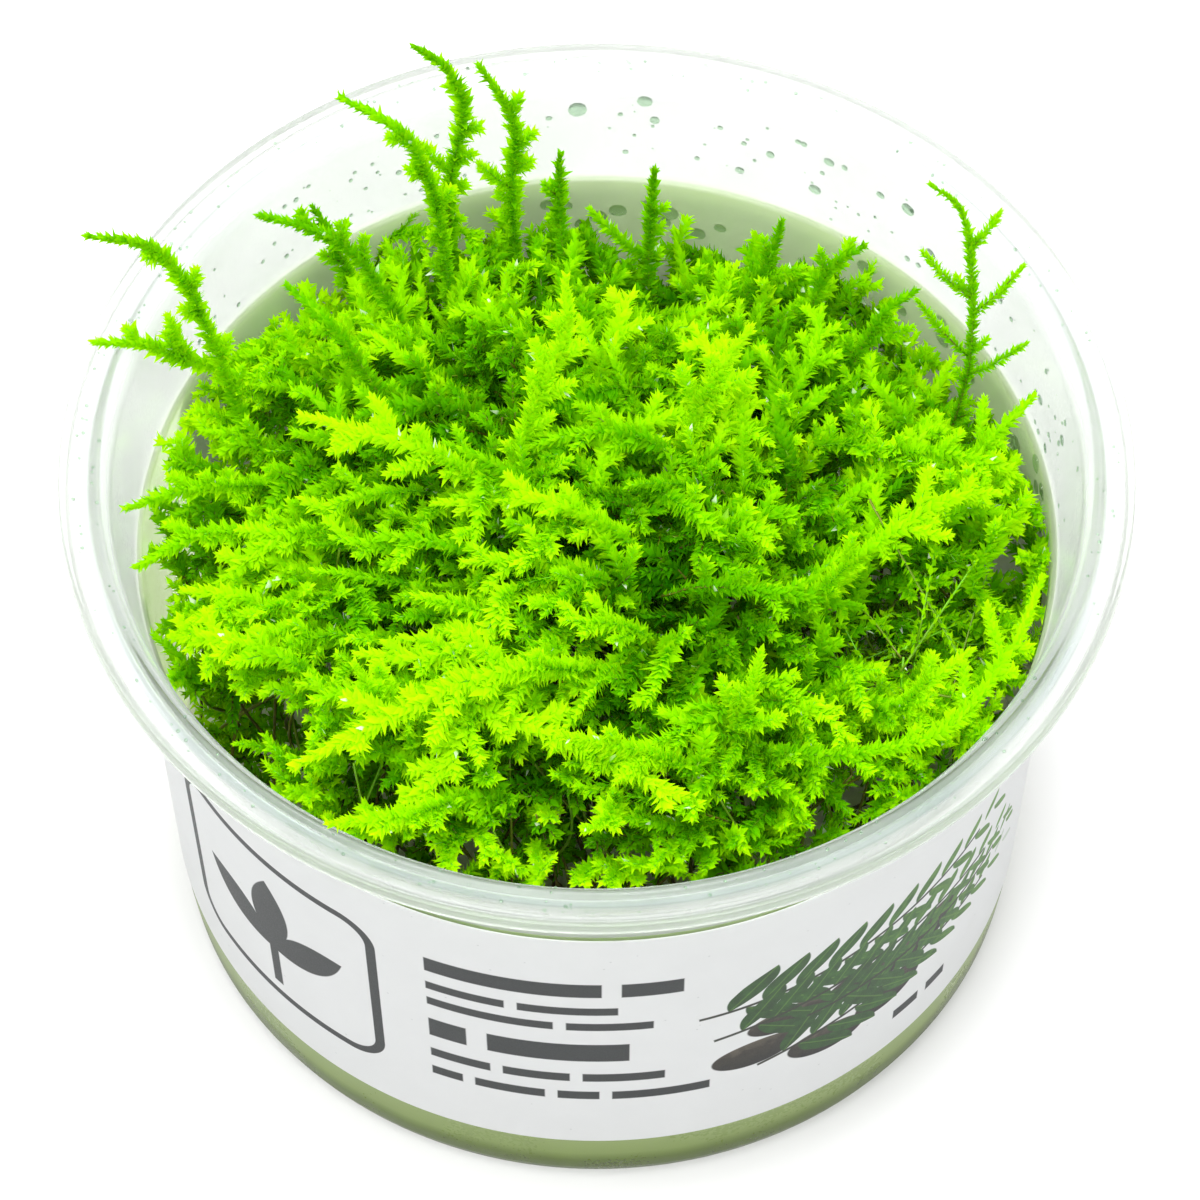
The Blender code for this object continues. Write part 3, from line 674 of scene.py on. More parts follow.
class Foliage:
    """Collects the leaves and stems of one piece."""

    def __init__(self, seed):
        self.rng = np.random.default_rng(seed)
        self.points, self.faces, self.growth, self.slots = [], [], [], []
        self.count = 0

    def add(self, points, faces, growth, slot):
        self.points.append(points)
        self.faces.append(faces + self.count)
        self.growth.append(growth)
        self.slots.append(np.full(len(faces), slot, np.int32))
        self.count += len(points)

    def leaves(self, route, up, size, step, young, spread=SPREAD, lean=0.8):
        """Small keeled leaves set spirally along a route, flattened a little to both sides of it."""
        rng = self.rng
        places, ways, share = spaced(route, step)
        count = len(places)
        across = unit(np.cross(ways, up))
        over = np.cross(across, ways)
        turn = GOLDEN_TURN * np.arange(count) + rng.normal(0.0, 0.3, count) + rng.random() * 6.28
        cosine, sine = np.cos(turn)[:, None], np.sin(turn)[:, None]
        outward = unit(across * cosine + over * sine * lean)
        angle = np.interp(share, (0.0, 0.75, 1.0), (spread[0], spread[0] * 0.92, spread[1]))
        angle = np.radians(angle * (0.7 + 0.3 * np.abs(np.cos(turn))) + rng.normal(0.0, 9.0, count))[:, None]
        axis = ways * np.cos(angle) + outward * np.sin(angle)
        back = outward * np.cos(angle) - ways * np.sin(angle)
        width = np.cross(axis, back)
        flat = unit(np.cross(over, axis))
        flat *= np.sign((width * flat).sum(1, keepdims=True) + 1e-6)
        width = unit(width * (1.0 - 0.5 * np.abs(cosine)) + flat * 0.5 * np.abs(cosine))
        length = (size * np.interp(share, (0.0, 0.15, 0.75, 1.0), (0.6, 1.0, 1.0, TIP_SIZE))
                  * (1.0 + rng.normal(0.0, 0.15, count)))[:, None]
        wide = length * LEAF_SHAPE * (1.0 + rng.normal(0.0, 0.15, count))[:, None]
        foot = places + outward * 0.06
        middle = foot + axis * length * 0.4 - back * length * 0.08
        tip = foot + axis * length + back * length * rng.normal(0.06, 0.14, count)[:, None]
        points = np.stack((foot, middle + width * wide * 0.5, middle - width * wide * 0.5, tip), 1)
        faces = LEAF_FACES + (np.arange(count) * 4)[:, None, None]
        fresh = np.interp(share, np.linspace(0.0, 1.0, len(young)), young) + rng.normal(0.0, 0.05, count)
        growth = np.stack([np.repeat(fresh, 4), np.repeat(rng.random(count), 4),
                           np.tile((0.0, 0.4, 0.4, 1.0), count)], 1)
        self.add(points.reshape(-1, 3), faces.reshape(-1, 3), growth, 0)

    def stem(self, route, thick, young, step=1.4, sides=3):
        """A thin tapering stem with closed ends."""
        places, ways, share = spaced(route, step)
        aside = unit(np.cross(ways, STEM_ASIDE))
        other = np.cross(ways, aside)
        radius = (thick[0] + (thick[1] - thick[0]) * share)[:, None]
        rings = [places + radius * (aside * math.cos(turn) + other * math.sin(turn))
                 for turn in 2 * math.pi * np.arange(sides) / sides]
        points = np.concatenate([places[:1], np.stack(rings, 1).reshape(-1, 3), places[-1:]])
        fresh = np.concatenate([young[:1], np.repeat(np.interp(share, (0, 1), young), sides), young[1:]])
        tone = np.full(len(points), self.rng.random())
        self.add(points, tube_triangles(len(places), sides), np.stack([fresh, tone, tone * 0.0], 1), 1)

    def frond(self, route, up, size, step, young, sides=(), spread=SPREAD, thick=0.14):
        """A leafy shoot with leafy twigs; sides are (place along it, side, length, angle)."""
        self.leaves(route, up, size, step, young, spread)
        self.stem(route, (thick, 0.07), (young[0], young[1] + 0.1))
        places, ways, share = spaced(route, 0.5)
        for place, side, length, angle in sides:
            at = min(max(int(np.searchsorted(share, place)), 1), len(places) - 1)
            across = unit(np.cross(ways[at], up)) * side
            turn = math.radians(angle)
            course = ways[at] * math.cos(turn) + across * math.sin(turn)
            gone = np.linspace(0.0, 1.0, 6)[:, None]
            twig = places[at] + course * length * gone + ways[at] * length * 0.22 * gone * gone
            twig += self.rng.normal(0.0, 0.08) * length * gone * gone * up
            fresh = float(np.interp(place, np.linspace(0.0, 1.0, len(young)), young))
            self.leaves(twig, up, size * 0.86, step, (fresh, min(fresh + 0.2, 1.0)), spread)
            self.stem(twig, (0.1, 0.05), (fresh - 0.1, fresh))

    def build(self, name, looks):
        """The joined mesh, kept inside the cup's wall and off its flange."""
        points = np.concatenate(self.points)
        radius = np.hypot(points[:, 0], points[:, 1])
        limit = np.interp(points[:, 2], (FLOOR, CUP_HEIGHT - STEP_DROP, CUP_HEIGHT - LIP_DROP, CUP_HEIGHT),
                          (wall_radius(FLOOR) - WALL, STEP_RADIUS - STEP_WIDTH - WALL,
                           LIP_TOP_RADIUS - 0.1, BEAD_RADIUS - 0.5)) - LEAF_CLEARANCE
        low = points[:, 2] < CUP_HEIGHT - LIP_DROP
        points[:, :2] *= np.where(low & (radius > limit), limit / np.maximum(radius, 1e-6), 1.0)[:, None]
        edge = (~low) & (radius > limit) & (points[:, 2] < CUP_HEIGHT + FLANGE_CLEARANCE)
        points[edge, 2] = CUP_HEIGHT + FLANGE_CLEARANCE
        faces = np.concatenate(self.faces).astype(np.int32)
        mesh = bpy.data.meshes.new(name)
        mesh.vertices.add(len(points))
        mesh.vertices.foreach_set("co", (points * MM).astype(np.float32).ravel())
        mesh.loops.add(faces.size)
        mesh.loops.foreach_set("vertex_index", faces.ravel())
        mesh.polygons.add(len(faces))
        mesh.polygons.foreach_set("loop_start", np.arange(0, faces.size, 3, dtype=np.int32))
        mesh.polygons.foreach_set("material_index", np.concatenate(self.slots))
        mesh.update(calc_edges=True)
        # Youth with painted light and shade in it, random tone and place along, for the leaf and stem
        # colours.
        growth = mesh.attributes.new("growth", "FLOAT_VECTOR", "POINT")
        growth.data.foreach_set("vector", np.concatenate(self.growth).astype(np.float32).ravel())
        for look in looks:
            mesh.materials.append(look)
        print("PIECE", name, len(faces), "triangles")
        return linked(name, mesh)


# The single long shoots

SHOOT_UP = np.array((0.0, -0.55, 0.83))
SHOOT_SPREAD = (52.0, 22.0)
SHOOT_STEM = 0.2
SHOOT_LEAF_STEP = 0.055
TWIG_TURN = 52.0
SMALL_TWIG_TURN = 48.0
BURIED_SHARE = 0.25

# How bright a long shoot is from foot to tip, and its leaves' length, by a word in its name
SHOOT_LOOKS = (("front_long", ((0.7, 1.0, 1.0), 1.7)), ("centre", ((0.7, 0.95, 1.05), 1.5)),
               ("front_right_arch", ((0.4, 0.62, 0.72), 1.15)), ("right_arch", ((0.5, 0.75, 0.8), 1.35)),
               ("front", ((0.5, 0.8, 0.9), 1.35)), ("feather", ((0.2, 0.38, 0.5), 0.9)),
               ("over_flange", ((0.4, 0.66, 0.42), 1.3)), ("back", ((0.25, 0.45, 0.32), 1.2)),
               ("left", ((0.4, 0.72, 0.6), 1.3)), ("right", ((0.4, 0.66, 0.7), 1.2)))


def make_long_shoot(number, name, looks):
    """One long shoot from deep in the mat to its tip, with the solids' twigs and some short ones."""
    foot, points, twigs = SHOOTS[name]
    height = mat_height(*foot)
    deep = np.array((foot[0] * 0.9, foot[1] * 0.9, height - 9.0))
    route = smooth_route(((*foot, height - 2.0), *points), 60)
    route = np.concatenate([smooth_route((deep, (route[0] + deep) * 0.5, route[0]), 12)[:-1], route])
    shoot = Foliage(100 + number)
    rng = shoot.rng
    route += np.cumsum(rng.normal(0.0, 0.012, route.shape), axis=0)
    sides = [(BURIED_SHARE + (1.0 - BURIED_SHARE) * share, side, length, TWIG_TURN)
             for share, side, length in twigs]
    for extra in np.arange(BURIED_SHARE + 0.05, 0.85, 0.16 - 0.01 * len(points)):
        sides.append((extra + rng.normal(0.0, 0.02), 1 if rng.random() < 0.5 else -1,
                      rng.uniform(1.2, 2.4), SMALL_TWIG_TURN))
    young, size = next(look for word, look in SHOOT_LOOKS if word in name)
    shoot.frond(route, SHOOT_UP, size, SHOOT_LEAF_STEP, young, sides, SHOOT_SPREAD, SHOOT_STEM)
    return shoot.build(name.replace("shoot_", "leafy_shoot_"), looks)


# The mat

# Patches of painted light and shade on the moss: place, radius and change in brightness
PAINTED_LIGHT_PATCHES = (((-13.0, -26.0), 8.0, 0.16), ((13.0, 8.0), 8.0, 0.14), ((-22.0, -12.0), 4.5, -0.3),
           ((7.6, -18.1), 5.5, -0.3), ((-13.7, 4.5), 4.0, -0.25), ((31.0, 3.0), 11.0, 0.3),
           ((1.0, -13.0), 4.5, -0.2), ((24.0, -27.0), 7.0, -0.12), ((20.0, 20.0), 7.0, -0.1),
           ((3.0, -25.0), 4.0, -0.3), ((2.0, -2.0), 4.0, -0.2), ((-30.0, 6.0), 4.0, -0.2))
PATCH_SINK = 7.0

# Shoots that lie on the mat: their route as places, lift, brightness from foot to tip, leaf length
LYING = (
    (((-18.0, -24.5), (-15.2, -25.8), (-10.6, -29.0), (-3.4, -31.2), (3.9, -36.3), (8.9, -37.6)), 0.8,
     (0.9, 1.0, 1.05), 1.6),
    (((-7.0, -14.0), (-8.8, -17.0), (-10.3, -19.8), (-15.5, -22.6), (-21.8, -21.8)), 0.8,
     (0.8, 1.0, 1.0), 1.45),
    (((3.5, -9.0), (2.1, -8.4), (-3.9, -7.0), (-8.9, -5.4), (-14.7, -4.4)), 0.8, (0.6, 0.9, 0.95), 1.4),
    (((6.0, -12.5), (9.5, -13.0), (16.8, -14.4), (24.4, -10.5)), 1.2, (0.35, 0.4, 0.45), 1.1),
    (((13.7, 0.6), (13.3, 8.0), (9.7, 17.7)), 0.8, (0.6, 0.9, 0.95), 1.35),
    (((-0.6, -5.7), (0.7, 1.3), (0.3, 7.3)), 0.6, (0.5, 0.75, 0.8), 1.3),
    (((-26.0, -21.5), (-28.1, -22.4), (-33.6, -20.4), (-39.2, -16.1)), 0.5, (0.5, 0.8, 0.85), 1.35),
    (((-10.5, -28.0), (-11.5, -30.3), (-14.3, -34.1), (-17.9, -36.2)), 0.6, (0.7, 0.95, 1.0), 1.4),
    (((8.4, -35.8), (9.8, -31.9), (9.0, -26.0), (8.5, -21.5)), 0.8, (0.5, 0.72, 0.78), 1.3),
    (((21.0, -1.0), (26.0, 3.0), (31.0, 9.0), (33.0, 14.0)), 0.6, (0.5, 0.7, 0.75), 1.2),
    (((24.0, 6.0), (29.0, 5.0), (36.0, 3.0), (40.0, 3.5)), 0.5, (0.5, 0.7, 0.72), 1.2),
    (((17.0, 10.0), (20.0, 16.0), (21.0, 23.0)), 0.5, (0.4, 0.55, 0.6), 1.2),
    (((-24.0, -6.0), (-29.0, -8.0), (-35.0, -10.0)), 0.6, (0.5, 0.75, 0.8), 1.3),
)
# Openings in the leafy top: place, radius and share of the shoots left out
OPENINGS = (((30.0, -13.0), 6.8, 0.8), ((25.5, -23.0), 5.5, 0.6), ((-38.5, -3.0), 4.8, 0.8))
# The first two go on down to the gel along the line of sight: its slope, and where it starts
SIGHT_SLOPE = 0.687
SIGHT_TOP = 54.0

# Kinds of shoot: leaf length, leaf spacing, how much older the foot is, the fewest twigs and one more
# than the most, and the shortest and longest twig
RIM_KIND = ((1.1, 1.45), 0.08, 0.3, (1, 4), 1.8, 3.2)
MIDDLE_KIND = (1.4, 0.13, 0.15, (1, 5), 2.5, 4.5)
LOWER_KIND = (1.5, 0.17, 0.1, (0, 4), 2.5, 4.5)
SIDE_KIND = (1.4, 0.13, 0.2, (1, 5), 2.0, 4.0)
# Layers of the leafy top: reach, spacing, depth and how much it varies, shoot length, rise and kind
TOP_LAYERS = (
    (41.0, 4.3, (2.4, 1.2), (9.0, 14.0), 24.0, ((1.1, 1.4), 0.09, 0.4, (1, 4), 2.2, 4.2)),
    (41.3, 4.4, (1.0, 0.8), (4.5, 7.5), 50.0, ((1.1, 1.45), 0.08, 0.3, (1, 4), 1.6, 3.0)),
    (41.0, 5.1, (-0.3, 1.1), (11.0, 18.0), 16.0, ((1.2, 1.6), 0.08, 0.3, (0, 5), 2.4, 5.0)),
)
TOP_LOOSE = 0.05
RIM_SHOOTS = 120
SECTORS = ("right", "back_right", "back_left", "left", "front_left", "front_right")
LOWER_LAYERS = (20.0, 30.0, 40.0)
SIDE_SHOOTS = 36
SIGHT_TWIGS = 70
STEM_REACH = 38.0


def falloff(x, y, place, radius):
    """1 at a place, falling away smoothly within about its radius."""
    return math.exp(-((x - place[0]) ** 2 + (y - place[1]) ** 2) / radius ** 2)


def disc_points(rng, reach, step):
    """Jittered points that fill a disc evenly."""
    rows = int(reach / step) + 2
    made = []
    for row in range(-rows, rows + 1):
        for column in range(-rows - 2, rows + 3):
            x = (column + 0.5 * (row % 2)) * step + rng.normal(0.0, step * 0.22)
            y = row * step * 0.87 + rng.normal(0.0, step * 0.22)
            if math.hypot(x, y) < reach:
                made.append((x, y))
    return made


def in_hollow(x, y, share):
    """True where the mat opens up and its leaves stand thin."""
    return any(math.hypot(x - hx, y - hy) < radius * share for (hx, hy), radius, _ in HOLLOWS[:4])


def canopy_route(rng, x, y, depth, long, loose, rise=28.0):
    """A shoot's curved route, from a foot inside the mat to a tip near the mat's top."""
    reach = math.hypot(x, y) / MAT_RADIUS
    tip = np.array((x, y, mat_height(x, y) - depth))
    swirl = 1.5 * noise.noise(Vector((x / 11.0, y / 11.0, 7.7)))
    heading = math.atan2(y + 3.0, x - 3.0) + swirl + rng.normal(0.0, 0.55 + 1.2 * max(0.0, 0.4 - reach))
    rise = math.radians(np.clip(rise - 12.0 * reach + rng.normal(0.0, 15.0), -10.0, 80.0))
    outward = np.array((math.cos(heading) * math.cos(rise), math.sin(heading) * math.cos(rise),
                        math.sin(rise)))
    outward[0] -= 0.12
    outward = unit(outward)
    upward = unit(outward * 0.5 + np.array((0.0, 0.0, 0.8)) + rng.normal(0.0, 0.2, 3))
    length = rng.uniform(*long)
    bend = tip - outward * length * 0.55
    foot = bend - upward * length * 0.45
    gone = np.linspace(0.0, 1.0, 14)[:, None]
    route = (1 - gone) ** 2 * foot + 2 * gone * (1 - gone) * bend + gone ** 2 * tip
    return route + np.cumsum(rng.normal(0.0, loose, route.shape), axis=0)


def frond_up(rng, route):
    """Which way a shoot's flat side faces."""
    way = unit(route[-1] - route[len(route) // 2])
    up = unit(np.array((0.0, 0.0, 1.0)) - way * way[2] + np.array((0.0, -0.25, 0.0)))
    roll = rng.normal(0.0, 0.55)
    side = np.cross(way, up)
    return unit(up * math.cos(roll) + side * math.sin(roll))



def random_sides(rng, many, shortest, longest):
    """Twigs by turns on both sides, shorter towards the tip."""
    sides, side = [], 1
    for place in np.linspace(0.28, 0.86, many) if many else ():
        side = -side
        sides.append((place + rng.normal(0.0, 0.02), side,
                      rng.uniform(shortest, longest) * (1.15 - 0.75 * place), rng.normal(52.0, 6.0)))
    return sides


def grow(foliage, rng, route, young, kind):
    """One leafy shoot of a kind along a route, with twigs at random."""
    size, step, older, many, shortest, longest = kind
    up = frond_up(rng, route)
    size = rng.uniform(*size) if isinstance(size, tuple) else size
    foliage.frond(route, up, size, step, (young - older, young),
                  random_sides(rng, int(rng.integers(*many)), shortest, longest))


def is_open(rng, x, y):
    """True for most of the places in the openings at both sides."""
    return any(math.hypot(x - at_x, y - at_y) < radius and rng.random() < share
               for (at_x, at_y), radius, share in OPENINGS)


def is_gap(rng, x, y):
    """True in the small dark gaps between clumps, and in the openings."""
    return noise.noise(Vector((x / 5.5, y / 5.5, 5.5))) < -0.3 or is_open(rng, x, y)


def in_sight(x, y, z):
    """True where the openings at the right let the eye down through the tangle to the gel."""
    return any(math.hypot(x - at_x, y - at_y - (SIGHT_TOP - z) * SIGHT_SLOPE) < radius
               for (at_x, at_y), radius, _ in OPENINGS[:2])


def lit_share(x, y):
    """How well the inside of the mat is lit, through the open hollow at the right."""
    return falloff(x, y, (29.0, 2.0), 13.04)


def youth_and_painted_light(rng, x, y, depth):
    """How young and bright the moss is at a place: random patches of younger moss, painted shade deeper down
    and in three hollows, the listed patches of painted light and shade, and paler towards the front left.
    """
    patch = noise.noise(Vector((x / 10.0, y / 10.0, 3.3)))
    # Painted shade: darker in three hollows and the deeper a shoot lies.
    hollow_shade = max(falloff(x, y, *HOLLOWS[number][:2]) for number in (3, 5, 6))
    young = 0.72 + 0.5 * patch - 0.002 * x - 0.004 * y - 0.08 * depth - 0.3 * hollow_shade + rng.normal(0.0, 0.09)
    # Painted light and shade in the listed patches.
    young += sum(change * falloff(x, y, place, radius) for place, radius, change in PAINTED_LIGHT_PATCHES)
    return float(np.clip(young, 0.2, 1.0))


def sinking(x, y):
    """How much lower than the rest the shoots of a dark patch lie."""
    return sum(-PATCH_SINK * change * falloff(x, y, place, radius)
               for place, radius, change in PAINTED_LIGHT_PATCHES if change < 0.0)


def sector_of(sectors, x, y):
    return sectors[int((math.degrees(math.atan2(y, x)) + 30.0) % 360.0 // 60.0)]


def make_canopy(looks):
    """The leafy top of the mat, in six sectors."""
    rng = np.random.default_rng(11)
    sectors = [Foliage(20 + number) for number in range(len(SECTORS))]

    def plant(x, y, depth, long, rise, kind, fresher=0.0):
        route = canopy_route(rng, x, y, depth, long, TOP_LOOSE, rise)
        young = min(youth_and_painted_light(rng, x, y, depth) + fresher, 1.0)
        grow(sector_of(sectors, x, y), rng, route, young, kind)

    def plant_layer(reach, spacing, depths, long, rise, kind, gaps=True):
        for x, y in disc_points(rng, reach, spacing):
            if not (gaps and is_gap(rng, x, y)):
                plant(x, y, rng.normal(*depths) + sinking(x, y), long, rise, kind)

    plant_layer(*TOP_LAYERS[0], gaps=False)
    plant_layer(*TOP_LAYERS[1])
    for number in range(RIM_SHOOTS):
        turn = 2 * math.pi * (number + rng.random() * 0.8) / RIM_SHOOTS
        x, y = rng.uniform(40.0, 43.2) * np.array((math.cos(turn), math.sin(turn)))
        if not is_open(rng, x, y):
            depth = rng.uniform(-0.5, 3.5) + (2.0 if y > 0.0 else 0.0)
            plant(x, y, depth, (7.0, 11.0), 44.0, RIM_KIND, 0.15)
    plant_layer(*TOP_LAYERS[2])
    for places, lift, young, size in LYING:
        knots = [(x, y, mat_height(x, y) + lift) for x, y in places]
        knots[0] = (*places[0], knots[0][2] - 3.5)
        route = smooth_route(knots, 60)
        route += np.cumsum(rng.normal(0.0, 0.02, route.shape), axis=0)
        sides = random_sides(rng, len(places) + 2, 1.6, 4.0)
        sector = sector_of(sectors, *places[len(places) // 2])
        sector.frond(route, SHOOT_UP, size, 0.06, young, sides, (52.0, 24.0), SHOOT_STEM)
    return [sector.build("moss_top_" + name, looks) for sector, name in zip(sectors, SECTORS)]


def make_inside(looks):
    """The darker shoots and bare brown stems under the leafy top."""
    rng = np.random.default_rng(31)
    middle, lower, stems = Foliage(41), Foliage(42), Foliage(43)
    for x, y in disc_points(rng, 40.5, 5.0):
        if in_hollow(x, y, 0.7):
            continue
        depth = rng.uniform(4.0, 10.0)
        if in_sight(x, y, mat_height(x, y) - depth):
            continue
        route = canopy_route(rng, x, y, depth, (9.0, 14.0), 0.08)
        grow(middle, rng, route, rng.uniform(0.15, 0.4) + lit_share(x, y) * 0.3, MIDDLE_KIND)

    def grow_low(x, y, depth, long, youth, lit, kind):
        route = canopy_route(rng, x, y, depth, long, 0.1)
        route[:, 2] = np.maximum(route[:, 2], GEL_TOP + 1.0)
        grow(lower, rng, route, rng.uniform(*youth) + lit_share(x, y) * lit, kind)

    for layer in LOWER_LAYERS:
        for x, y in disc_points(rng, 40.0, 7.6):
            if in_hollow(x, y, 0.8):
                continue
            top = min(layer + rng.uniform(0.0, 9.0), mat_height(x, y) - 6.0)
            if not (in_sight(x, y, top) and rng.random() < 0.9):
                grow_low(x, y, mat_height(x, y) - top, (10.0, 15.0), (0.05, 0.3), 0.35, LOWER_KIND)
    for _ in range(SIDE_SHOOTS):
        turn, height = math.radians(rng.uniform(150.0, 196.0)), rng.uniform(18.0, 42.0)
        reach = rng.uniform(37.0, 40.5)
        x, y = reach * math.cos(turn), reach * math.sin(turn)
        grow_low(x, y, mat_height(x, y) - height, (8.0, 13.0), (0.3, 0.65), 0.0, SIDE_KIND)
    for x, y in disc_points(rng, STEM_REACH, 5.0):
        top = mat_height(x, y) - rng.uniform(3.0, 9.0)
        ground = np.array((x, y)) + rng.normal(0.0, 4.0, (3, 2))
        ground *= np.minimum(1.0, STEM_REACH / np.linalg.norm(ground, axis=1))[:, None]
        heights = (GEL_TOP - 0.5, GEL_TOP + (top - GEL_TOP) * 0.35, GEL_TOP + (top - GEL_TOP) * 0.7)
        knots = [(*place, height) for place, height in zip(ground, heights)]
        stems.stem(smooth_route((*knots, (x, y, top)), 20), (0.22, 0.12), (0.0, 0.35), 1.8, 4)
    for number in range(SIGHT_TWIGS):
        (at_x, at_y), radius, _ = OPENINGS[number % 2]
        z = rng.uniform(24.0, 53.0)
        start = np.array((at_x, at_y + (SIGHT_TOP - z) * SIGHT_SLOPE, z))
        knots = [start + rng.normal(0.0, radius * 0.7, 3) * (1.0, 1.0, 0.6) for _ in range(3)]
        route = smooth_route(knots, 14)
        route[:, :2] *= np.minimum(1.0, 39.0 / np.hypot(route[:, 0], route[:, 1]))[:, None]
        stems.stem(route, (0.16, 0.09), (0.35, 0.6), 1.5, 3)
        middle.leaves(route, frond_up(rng, route), 0.9, 0.35, (0.55, 0.75))
    return [middle.build("moss_under_top", looks), lower.build("moss_lower_tangle", looks),
            stems.build("moss_old_stems", looks)]


# Condensation

# Larger drops on the lip as (turn, height, half width)
LARGE_DROPS = ((92.4, 56.2, 0.95), (84.2, 57.4, 0.8), (82.9, 55.2, 0.5), (48.6, 55.4, 0.8), (60.4, 55.7, 0.6),
               (68.1, 53.9, 0.45), (71.8, 50.9, 0.5), (61.7, 51.7, 0.7), (52.8, 55.0, 0.5), (44.0, 52.2, 0.7),
               (18.2, 52.0, 0.6), (10.2, 53.7, 0.6), (31.4, 55.0, 0.5))
LIP_DROPS, WALL_DROPS, FLANGE_DROPS, BEAD_DROPS = 120, 30, 130, 90
DROP_RINGS, DROP_SIDES = 4, 10


def wall_drops(rng):
    """Drops on the lip and the inner wall as (turn, radius, height, squash, size)."""
    places = [(*drop, 0.32) for drop in LARGE_DROPS]
    for _ in range(LIP_DROPS):
        places.append((rng.uniform(0.0, 150.0), rng.uniform(49.0, 57.0), rng.uniform(0.1, 0.42) ** 1.2, 0.5))
    for _ in range(WALL_DROPS):
        places.append((rng.uniform(5.0, 100.0), rng.uniform(41.0, 47.0), rng.uniform(0.5, 1.0), 0.3))
    below_step = STEP_RADIUS - STEP_WIDTH
    wall = ((CORNER_RADIUS, wall_radius(CORNER_RADIUS) - WALL), (47.7, below_step - WALL),
            (48.3, STEP_RADIUS - WALL), (57.8, LIP_TOP_RADIUS - 0.1))
    return [(turn, np.interp(height, *zip(*wall)), height, squash, size)
            for turn, height, size, squash in places]


def make_drops(look):
    """Flattened drops of water on the lip, the inner wall, the flange and the bead."""
    rng = np.random.default_rng(77)
    spots = wall_drops(rng)
    for _ in range(FLANGE_DROPS):
        turn, radius = rng.uniform(0.0, 360.0), rng.uniform(BEAD_RADIUS + 1.0, FLANGE_RADIUS - 1.2)
        spots.append((turn, radius, CUP_HEIGHT - 0.32, 0.0, rng.uniform(0.08, 0.22)))
    for _ in range(BEAD_DROPS):
        turn, radius = rng.uniform(0.0, 360.0), BEAD_RADIUS + rng.normal(0.0, 0.25)
        spots.append((turn, radius, CUP_HEIGHT - 0.03, 0.0, rng.uniform(0.07, 0.2)))
    points, faces = [], []
    for turn, radius, height, on_wall, size in spots:
        c, s = math.cos(math.radians(turn)), math.sin(math.radians(turn))
        out, side, up = np.array(((c, s, 0.0), (-s, c, 0.0), (0.0, 0.0, 1.0)))
        normal, first, second = (-out, side, up) if on_wall else (up, out, side)
        centre = out * radius + up * height
        thick = normal * size * (on_wall or rng.uniform(0.4, 0.6))
        second = second * (rng.uniform(0.9, 1.2) if on_wall else 1.0)
        base = len(points)
        points.append(centre + thick)
        for angle in math.pi * np.arange(1, DROP_RINGS + 1) / (DROP_RINGS + 1):
            for a in 2 * math.pi * np.arange(DROP_SIDES) / DROP_SIDES:
                points.append(centre + thick * math.cos(angle)
                              + (first * math.cos(a) + second * math.sin(a)) * size * math.sin(angle))
        points.append(centre - thick)
        turned = np.dot(np.cross(first, second), normal) > 0
        for face in tube_faces(DROP_RINGS, DROP_SIDES):
            face = tuple(base + corner for corner in face)
            faces.append(face[::-1] if turned else face)
    return mesh_object("condensation_drops", points, faces, look)


# The floor, the lights and the camera

CAMERA_DISTANCE = 1.0
CAMERA_ELEVATION = 55.5
CAMERA_LIFT = -0.01206
CAMERA_ASIDE = 0.000278
CAMERA_LENS = 323.5


def make_stage():
    mesh = bpy.data.meshes.new("floor")
    mesh.from_pydata([(-4, -4, 0), (4, -4, 0), (4, 4, 0), (-4, 4, 0)], [], [(0, 1, 2, 3)])
    made, tree, surface = new_material("floor_white")
    plug(tree, surface, lobe(tree, "Diffuse", (0.8, 0.8, 0.8)))
    mesh.materials.append(made)
    linked("floor", mesh)


def area_light(name, place, aim, size, power):
    lamp = bpy.data.lights.new(name, "AREA")
    lamp.shape = "DISK"
    lamp.size = size
    lamp.energy = power
    made = linked(name, lamp)
    made.location = place
    made.rotation_euler = (Vector(aim) - Vector(place)).to_track_quat("-Z", "Y").to_euler()



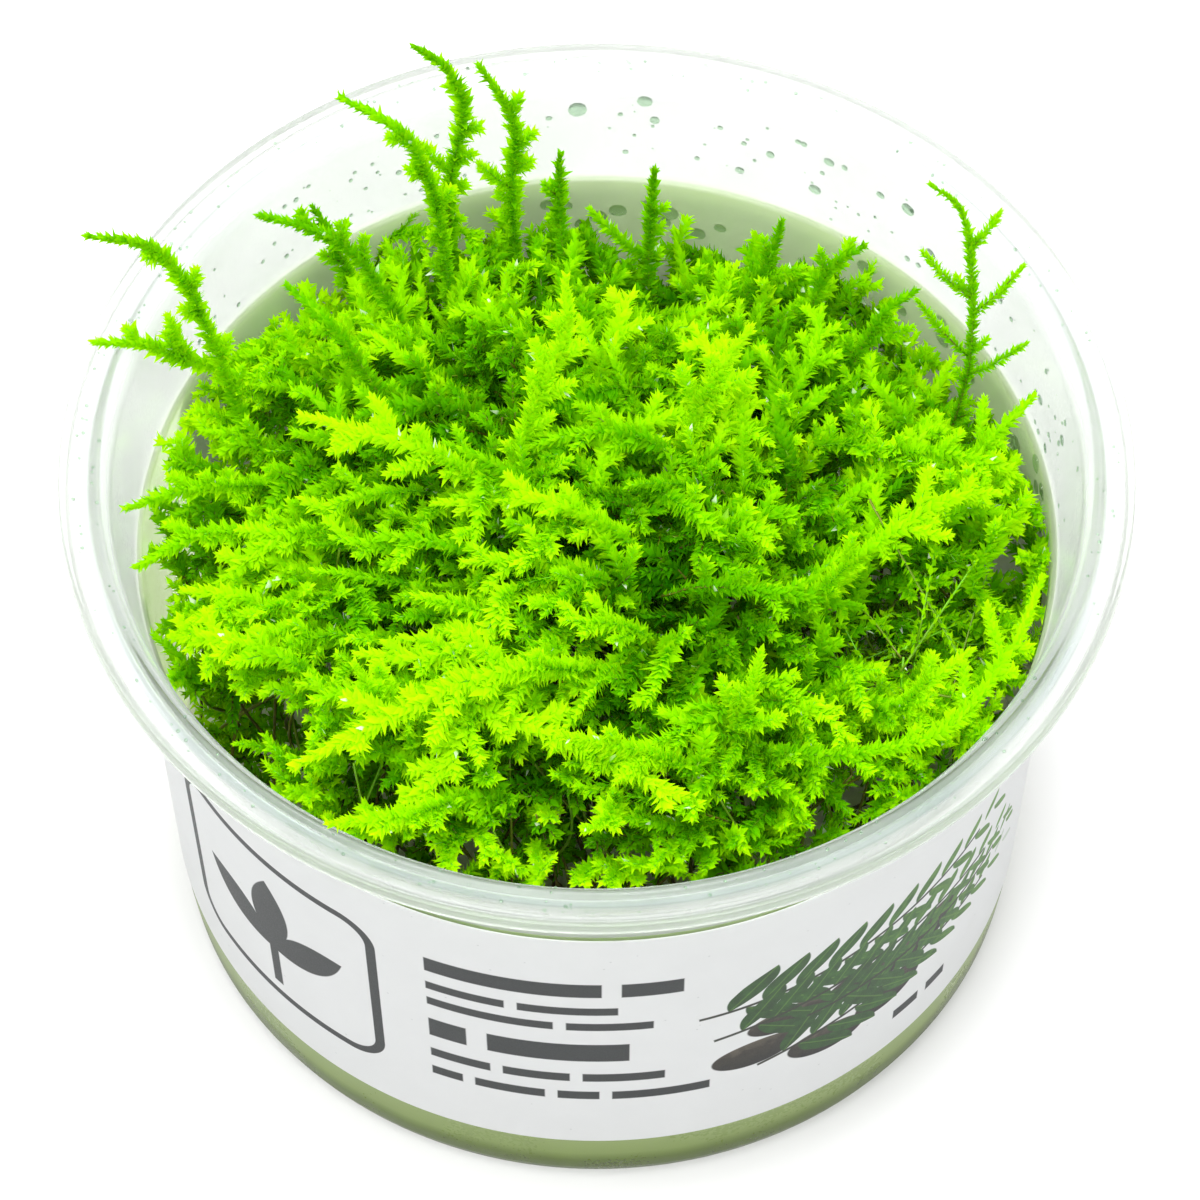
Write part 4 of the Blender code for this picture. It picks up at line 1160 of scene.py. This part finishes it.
def make_lights():
    """An even white studio, a soft key from above and a weak lamp from behind."""
    world = bpy.data.worlds.new("studio")
    world.use_nodes = True
    sky = world.node_tree.nodes["Background"].inputs
    sky["Color"].default_value, sky["Strength"].default_value = (1.0, 1.0, 1.0, 1.0), 0.95
    bpy.context.scene.world = world
    area_light("key", (-0.08, -0.12, 0.8), (0.0, 0.0, 0.05), 0.6, 7.0)
    area_light("back", (0.25, 0.5, 0.5), (0.0, 0.0, 0.04), 0.5, 1.5)


def limit_bounces():
    """Few bounces are enough for thin leaves and one milky wall."""
    cycles = bpy.context.scene.cycles
    cycles.max_bounces = 6
    cycles.diffuse_bounces = 3
    cycles.glossy_bounces = 2
    cycles.transmission_bounces = 5
    cycles.transparent_max_bounces = 8
    cycles.use_light_tree = False
    cycles.debug_use_spatial_splits = True


def make_camera():
    turn = math.radians(CAMERA_ELEVATION)
    view = Vector((0.0, math.cos(turn), -math.sin(turn)))
    up = Vector((0.0, math.sin(turn), math.cos(turn)))
    data = bpy.data.cameras.new("camera")
    data.sensor_width = 36.0
    data.lens = CAMERA_LENS
    data.clip_start, data.clip_end = 0.05, 20.0
    camera = linked("camera", data)
    aim = Vector((CAMERA_ASIDE, 0.0, CUP_HEIGHT * MM))
    camera.location = aim - view * CAMERA_DISTANCE + up * CAMERA_LIFT
    camera.rotation_euler = (math.pi / 2 - turn, 0.0, 0.0)
    bpy.context.scene.camera = camera


def dress(piece, slot, *nodes):
    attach(piece, "root")
    if nodes:
        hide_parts(*nodes)


def main():
    make_camera()
    make_stage()
    make_lights()
    limit_bounces()
    bpy.context.scene.view_settings.view_transform = "Standard"
    cup, drops = make_cup(plastic_material()), make_drops(water_material())
    cup.visible_shadow = drops.visible_shadow = False  # clear plastic and water hardly dim the moss
    dress(cup, "plastic", "cup")
    dress(make_label(label_material()), "label", "label")
    dress(make_gel(gel_material()), "gel", "gel")
    looks = (leaf_material(), stem_material())
    for piece in make_canopy(looks) + make_inside(looks):
        dress(piece, "moss_inner", "moss_mat")
    for number, name in enumerate(SHOOTS):
        dress(make_long_shoot(number, name, looks), "moss_shoots", name)
    dress(drops, "plastic")


main()
